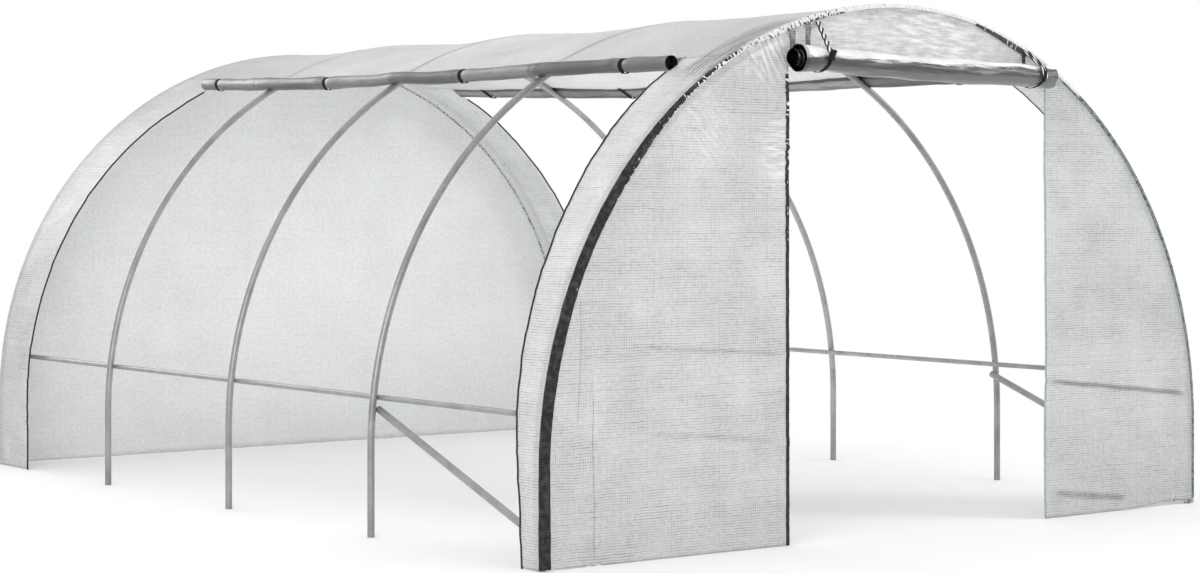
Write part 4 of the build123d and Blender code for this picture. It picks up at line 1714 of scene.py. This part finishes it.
    def build(self) -> None:
        """Make the roll, its two ties and their toggles."""
        self.curtain()
        hem_face = self.wall.tunnel.front - 7 * MM
        for tie in self.ties:
            foot = math.radians(tie.foot_degrees)
            self.loop(f"door_tie_{tie.word}", tie.foot_x, foot, tie.nodes)
            at = self.around(tie.foot_x, np.array([foot]), 0.3 * tie.knot)[0]
            self.toggle(f"door_toggle_{tie.word}", at, tie.knot, 0.25)
            for number, top_x in enumerate(tie.tops):
                top = np.array([top_x, hem_face, tie.top_z])
                line = self.route(top, tie.foot_x + (top_x - tie.tops[0]), foot - 0.1 * number)
                name = f"door_cord_{tie.word}_{number + 1}"
                self.twisted(name, line, tie.turns, tie.width, 0.3 + 0.9 * number)


@dataclass
class Fixings:
    """The small steel parts of the frame: collars at the hoop joints, and bolts where tubes cross."""

    tunnel: Tunnel
    zinc: Material
    tube: Material
    joint_angle: float = math.radians(52.0)
    rail_height: float = 0.470
    rail_tube: float = 0.019
    brace_foot: float = 0.075
    collar_drop: float = 9 * MM
    bite: float = 0.4 * MM
    places: tuple[str, ...] = ("front", "second", "middle", "fourth", "rear")

    @property
    def hoop_radius(self) -> float:
        """Radius of a hoop's centre line."""
        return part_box("hoop_front_right_leg")[1].x - self.tunnel.tube / 2

    def collar(self) -> bpy.types.Mesh:
        """Model the flared mouth of a leg tube, where the crown is pushed in."""
        deselect()
        radius = self.tunnel.tube / 2
        mouth = radius + 0.9 * MM
        bpy.ops.mesh.primitive_cylinder_add(vertices=32, radius=mouth, depth=26 * MM, end_fill_type="NOTHING")
        made = bpy.context.object
        subdivide(2)
        for vertex in made.data.vertices:
            if vertex.co.z < -4 * MM:
                flare = (radius + 0.15 * MM) / mouth
                vertex.co.x, vertex.co.y = vertex.co.x * flare, vertex.co.y * flare
        apply_modifier(made, "SOLIDIFY", thickness=0.6 * MM, offset=-1.0)
        apply_modifier(made, "BEVEL", width=0.25 * MM, segments=2, limit_method="ANGLE")
        made.data.shade_smooth()
        mesh = made.data
        bpy.data.objects.remove(made)
        return mesh

    def bolt(self) -> bpy.types.Mesh:
        """Model a dome washer with a bevelled six-sided nut on it, standing on its own floor."""
        deselect()
        cylinder = bpy.ops.mesh.primitive_cylinder_add
        cylinder(vertices=24, radius=7.5 * MM, depth=1.6 * MM, location=(0, 0, 0.8 * MM))
        washer = bpy.context.object
        bpy.ops.object.mode_set(mode="EDIT")
        bpy.ops.mesh.select_all(action="DESELECT")
        bpy.ops.object.mode_set(mode="OBJECT")
        for face in washer.data.polygons:
            face.select = face.normal.z > 0.9
        bpy.ops.object.mode_set(mode="EDIT")
        bpy.ops.mesh.inset(thickness=1.2 * MM)
        bpy.ops.object.mode_set(mode="OBJECT")
        cylinder(vertices=6, radius=5.4 * MM, depth=4.2 * MM, location=(0, 0, 3.6 * MM))
        nut = bpy.context.object
        cylinder(vertices=16, radius=2.9 * MM, depth=3.0 * MM, location=(0, 0, 6.6 * MM))
        stud = bpy.context.object
        for piece in (washer, nut, stud):
            piece.select_set(True)
        bpy.context.view_layer.objects.active = washer
        bpy.ops.object.transform_apply(location=True, rotation=True, scale=True)
        bpy.ops.object.join()
        apply_modifier(washer, "BEVEL", width=0.5 * MM, segments=2, limit_method="ANGLE")
        mesh = washer.data
        mesh.shade_smooth()
        bpy.context.view_layer.objects.active = washer
        washer.select_set(True)
        bpy.ops.object.shade_smooth_by_angle(angle=math.radians(35))
        bpy.data.objects.remove(washer)
        return mesh

    def place(
        self, name: str, mesh: bpy.types.Mesh, at: Vector, up: Vector, material: Material, slot: str,
    ) -> Piece:
        """Put a copy of a modelled part where it belongs, standing along a direction."""
        made = bpy.data.objects.new(name, mesh.copy())
        bpy.context.scene.collection.objects.link(made)
        made.data.transform(Matrix.Translation(at) @ up.to_track_quat("Z", "Y").to_matrix().to_4x4())
        return settle(made, material)

    def build(self) -> None:
        """Put a collar at every hoop joint and a bolt at every crossing."""
        shape = self.tunnel
        collar, bolt = self.collar(), self.bolt()
        radius = self.hoop_radius
        rise = math.asin((self.rail_height - shape.leg) / radius)
        across, up_it = math.cos(self.joint_angle), math.sin(self.joint_angle)
        for number, place in enumerate(self.places):
            y = shape.first_hoop + number * shape.bay
            for side in Side:
                at = Vector((side.value * radius * across, y, shape.leg + radius * up_it))
                up = Vector((-side.value * up_it, 0.0, across))
                seat = at - self.collar_drop * up
                self.place(f"joint_collar_{place}_{side.word}", collar, seat, up, self.tube, "hoop_tube")
                inward = Vector((-side.value * math.cos(rise), 0.0, -math.sin(rise)))
                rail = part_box(f"side_rail_{side.word}")
                rail_x = (rail[0].x + rail[1].x) / 2
                seat = Vector((rail_x, y, self.rail_height)) + inward * (self.rail_tube / 2 - self.bite)
                self.place(f"rail_bolt_{place}_{side.word}", bolt, seat, inward, self.zinc, "rail_tube")
            seat = Vector((0.0, y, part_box("ridge_tube")[0].z + self.bite))
            self.place(f"ridge_bolt_{place}", bolt, seat, Vector((0, 0, -1)), self.zinc, "rail_tube")
        for side in Side:
            low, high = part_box(f"brace_{side.word}")
            inward = Vector((-side.value, 0.0, 0.0))
            inner = min(abs(low.x), abs(high.x)) * side.value
            foot = Vector((inner, shape.first_hoop, self.brace_foot))
            self.place(f"brace_bolt_foot_{side.word}", bolt, foot, inward, self.zinc, "rail_tube")


@dataclass
class Studio:
    """White floor, white background, plain soft light, and the camera where the photographer stood."""

    stand: Place = (-6.139, -8.489, 1.157)
    heading: float = 36.683
    lens: float = 78.53
    shift: float = -0.0770
    world_light: float = 0.88

    def floor(self) -> None:
        """Lay the floor."""
        bpy.ops.mesh.primitive_plane_add(size=160, location=(0, 0, -0.5 * MM))
        made = bpy.context.object
        made.name = "studio_floor"
        made.data.materials.append(StudioFloor("matt white studio floor").build())

    def background(self) -> None:
        """Make the world white to the eye and soft on the object."""
        world = bpy.data.worlds.new("white studio")
        bpy.context.scene.world = world
        world.use_nodes = True
        tree = world.node_tree
        tree.nodes.clear()
        soft = add(tree, "Background", {"Color": linear("#FFFFFF"), "Strength": self.world_light})
        white = add(tree, "Background", {"Color": linear("#FFFFFF"), "Strength": 1.0})
        both = add(tree, "MixShader", {0: seen_plainly(tree), 1: soft, 2: white})
        out = tree.nodes.new("ShaderNodeOutputWorld")
        tree.links.new(both, out.inputs["Surface"])

    def lamp(self, name: str, at: Place, size: float, power: float, mirrored: bool = True) -> None:
        """Hang a soft lamp that looks at the middle of the tunnel. It may stay out of reflections."""
        light = bpy.data.lights.new(name, "AREA")
        light.shape = "DISK"
        light.size = size
        light.energy = power
        made = bpy.data.objects.new(name, light)
        bpy.context.scene.collection.objects.link(made)
        made.location = at
        made.rotation_euler = (Vector((0, 0, 0.8)) - Vector(at)).to_track_quat("-Z", "Y").to_euler()
        made.visible_camera = False
        made.visible_glossy = mirrored

    def camera(self) -> None:
        """Stand the camera level at eye height, framed by its shift."""
        data = bpy.data.cameras.new("camera")
        data.lens = self.lens
        data.sensor_width = 36.0
        data.shift_y = self.shift
        data.clip_end = 400
        made = bpy.data.objects.new("camera", data)
        bpy.context.scene.collection.objects.link(made)
        made.location = self.stand
        made.rotation_euler = (math.radians(90), 0.0, math.radians(-self.heading))
        bpy.context.scene.camera = made

    def build(self) -> None:
        """Make the camera, the floor, the background and the lamps."""
        self.camera()
        self.floor()
        self.background()
        self.lamp("key", (6.5, -7.5, 4.6), 4.0, 240)
        self.lamp("fill", (-7.6, -5.8, 2.8), 5.0, 275)
        self.lamp("back", (-2.5, 9.5, 4.5), 5.0, 200)
        self.lamp("top", (0.5, 2.0, 8.0), 6.0, 60)
        self.lamp("inside", (0.0, 0.0, 0.03), 2.4, 40, mirrored=False)
        bpy.context.scene.view_settings.view_transform = "Standard"


def dress_frame(tube: Material) -> None:
    """Give the frame tubes of the CAD model their finish."""
    for name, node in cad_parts.items():
        if name.startswith(("hoop", "side_rail", "ridge", "brace")):
            node.data.materials.clear()
            node.data.materials.append(tube)
            LOG.info("node %s dressed", name)


def make_cover(tunnel: Tunnel) -> Cover:
    """Return the roof and the strips. The inner hoops press creases into the roof, and their shadows on it
    are painted as dark lines.
    """
    hoops = tunnel.first_hoop + tunnel.bay * np.arange(tunnel.bays + 1) + MAP_SHIFT
    edge = float(tunnel.edge_line(np.array(0.0)))
    bunch = (tunnel.front + MAP_SHIFT + 0.075, 1.99, 0.13, 0.30)
    roof = WovenSheet(
        "woven polyethylene cover", film="#E7E8E8",
        # Painted shadows of the inner hoops: a dark line across the roof over each.
        creases=tuple((float(u), edge, float(u), tunnel.girth - edge, 5 * MM, 0.72) for u in hoops[1:-1]),
        strength=(0.34, 0.46), bunched=bunch,
    ).build()
    # The strips' film is paler: a lighter copy of the same sheet that paints more light on them.
    strips = WovenSheet("woven polyethylene side strips", film="#F3F4F4", bunched=bunch).build()
    return Cover(tunnel, roof, strips, WovenTape("black sewn piping", rib_pitch=6 * MM).build())


def make_wall(tunnel: Tunnel) -> EndWall:
    """Return the front wall. The doorway's upper corners pull folds into its sheet, with painted highlights
    on them, and dark lines paint the far side rail's shadow and the shade along folds.
    """
    doorway = WovenSheet(
        "woven polyethylene door wall",
        # Painted highlights in streaks where the doorway's upper corners pull the film.
        painted_highlights=((1.42, 1.66, 0.20, 0.95, 0.85), (1.49, 1.30, 0.17, 0.0, 0.7), (1.15, 1.36, 0.16, 0.7, 0.35)),
        # Painted dark lines: the far side rail's shadow on the right panel, and shade along folds and edges.
        creases=(
            (2.69, 0.494, 3.47, 0.412, 15 * MM, 0.40),
            (2.74, 0.092, 3.14, 0.044, 20 * MM, 0.28),
            (0.87, 0.676, 1.50, 0.632, 13 * MM, 0.13),
            (0.90, 0.404, 1.48, 0.345, 16 * MM, 0.10),
            (0.704, 0.00, 0.700, 0.56, 3.2 * MM, 0.36),
            (0.640, 0.42, 0.655, 0.86, 3.2 * MM, 0.28),
        ),
    ).build()
    gable = WovenSheet(
        "woven polyethylene gable", film="#E8E9E9", strength=(0.32, 0.50),
        # Painted highlights along the gable's foot, over the door roll.
        painted_highlights=((2.15, 1.67, 0.42, 0.06, 0.75), (1.75, 1.66, 0.25, -0.05, 0.6)),
    ).build()
    return EndWall(tunnel, doorway, gable)


def build_rear(tunnel: Tunnel) -> None:
    """Build the rear wall and the pockets of the end hoops."""
    sheet = WovenSheet("woven polyethylene rear wall", strength=(0.20, 0.26), clouding=0.05).build()
    pocket = CrinkledHem(
        "gathered pocket laminate", film="#F0F1F1", shade="#C9CCCC", dash="#77797A", dashes_from=0.3,
        dashes_to=5.0, most_dashes=0.70, dark_edge=(3.1, 4.9, 0.047), edge_level=0.53, shading=0.3,
        through=0.55,
    ).build()
    RearWall(tunnel, sheet).build(pocket)


def make_trim(wall: EndWall) -> FrontTrim:
    """Return the front arch's tapes and hem, the zips and the seams."""
    return FrontTrim(
        wall,
        tape=WovenTape(
            "black woven tape", tape="#19191A", rib="#505152", bare_from=1.0, bare_to=1.95, most_bare=0.50,
            ragged=(0.026, 0.048, 0.20), mark=(120.0, 26.0),
        ).build(),
        hem=CrinkledHem("gathered hem laminate", dark_edge=(2.19, 2.40, 0.031)).build(),
        band=WovenTape(
            "faded woven tape", tape="#6B7573", rib="#98A3A0", bare="#47514F", bare_from=2.0, bare_to=3.0,
            most_bare=0.56, mark=(60.0, 90.0),
        ).build(),
        patch=WovenTape(
            "grey woven tape", tape="#343536", rib="#5E5F60", bare_from=2.0, bare_to=3.0, most_bare=0.62,
        ).build(),
        zip=WovenTape(
            "black zip tape", rib_pitch=6 * MM, bare_from=0.8, bare_to=1.5, most_bare=0.56, mark=(85.0, 30.0),
        ).build(),
        zip_end=WovenTape("worn zip tape", tape="#5C5D5F", rib="#B9BABB", rib_pitch=9 * MM).build(),
        seam=WovenTape("pale seam tape", tape="#8C9A97", rib="#B9C3C0").build(),
    )


def make_side_rolls(tunnel: Tunnel, strap: Material) -> SideRolls:
    """Return the rolled side curtains. Their tones go round the roll, from its back over its top, and paint
    its light and shade: painted shade where it meets the roof and dark painted shadow lines along its top and
    bottom, with paler painted light between.
    """
    # These tones paint the light and shade round the roll.
    tones = (
        (-0.048, "#0E0F10"), (-0.040, "#77787A"), (-0.02, "#7E8081"), (0.000, "#58595A"), (0.020, "#2E2F30"),
        (0.030, "#565758"), (0.044, "#747576"), (0.064, "#868788"), (0.080, "#5E5F60"), (0.088, "#161718"),
        (0.105, "#3A3B3C"),
    )
    finish = RolledSheet(
        "rolled side curtain", tones=tones, crinkle_shade_and_thread="#3A3B3D", crinkle_shading=0.75, seams=(0.795, 2.845),
        dark_parts=((0.0, 0.27, 0.35), (0.27, 0.795, 0.62), (1.26, 1.75, 0.50), (2.25, 2.845, 0.42)),
        banding=0.25,
    ).build()
    return SideRolls(tunnel, strap=strap, finish=finish)


def make_door_roll(wall: EndWall, strap: Material) -> DoorRoll:
    """Return the rolled door curtain with its ties. Its tones paint a white highlight over the roll's top and
    dark shade across its middle, and the ends of its inner turns are painted dark as the shade in the roll's
    open ends.
    """
    # These tones paint the highlight and the shade round the roll.
    tones = (
        (0.0, "#747576"), (0.066, "#727374"), (0.094, "#666768"), (0.112, "#3A3B3C"), (0.128, "#303132"),
        (0.142, "#F0F1F1"), (0.200, "#F4F4F4"), (0.258, "#7A7B7C"),
    )
    finish = RolledSheet(
        "rolled door curtain", tones=tones, length=1.178, dark_parts=((-0.03, 0.012, 0.55),), edge="#0A0A0B",
        dark_end_width=18 * MM, dark_end_from=0.258, slant=0.018, wander=16 * MM, banding=0.12, crinkle_shading=0.30,
        roughness=0.24,
    ).build()
    return DoorRoll(
        wall, strap=strap, finish=finish, twist=TwistedStrap("twisted white tie").build(),
        moulding=Moulding("black plastic toggle").build(),
    )


def main() -> None:
    """Build the studio, the cover, the walls, the trim, the rolls and the fixings in order."""
    logging.basicConfig(level=logging.INFO, format="%(message)s")
    Studio().build()
    tunnel = Tunnel()
    wall = make_wall(tunnel)
    tube = GalvanisedTube("galvanised steel tube").build()
    webbing = WovenTape("black webbing", tape="#060607", rib="#121213", rib_pitch=3 * MM).build()
    dress_frame(tube)
    make_cover(tunnel).build()
    wall.build()
    build_rear(tunnel)
    make_trim(wall).build()
    make_side_rolls(tunnel, webbing).build()
    make_door_roll(wall, webbing).build()
    Fixings(tunnel, ZincFixing("zinc plated steel").build(), tube).build()


if __name__ == "__main__":
    main()
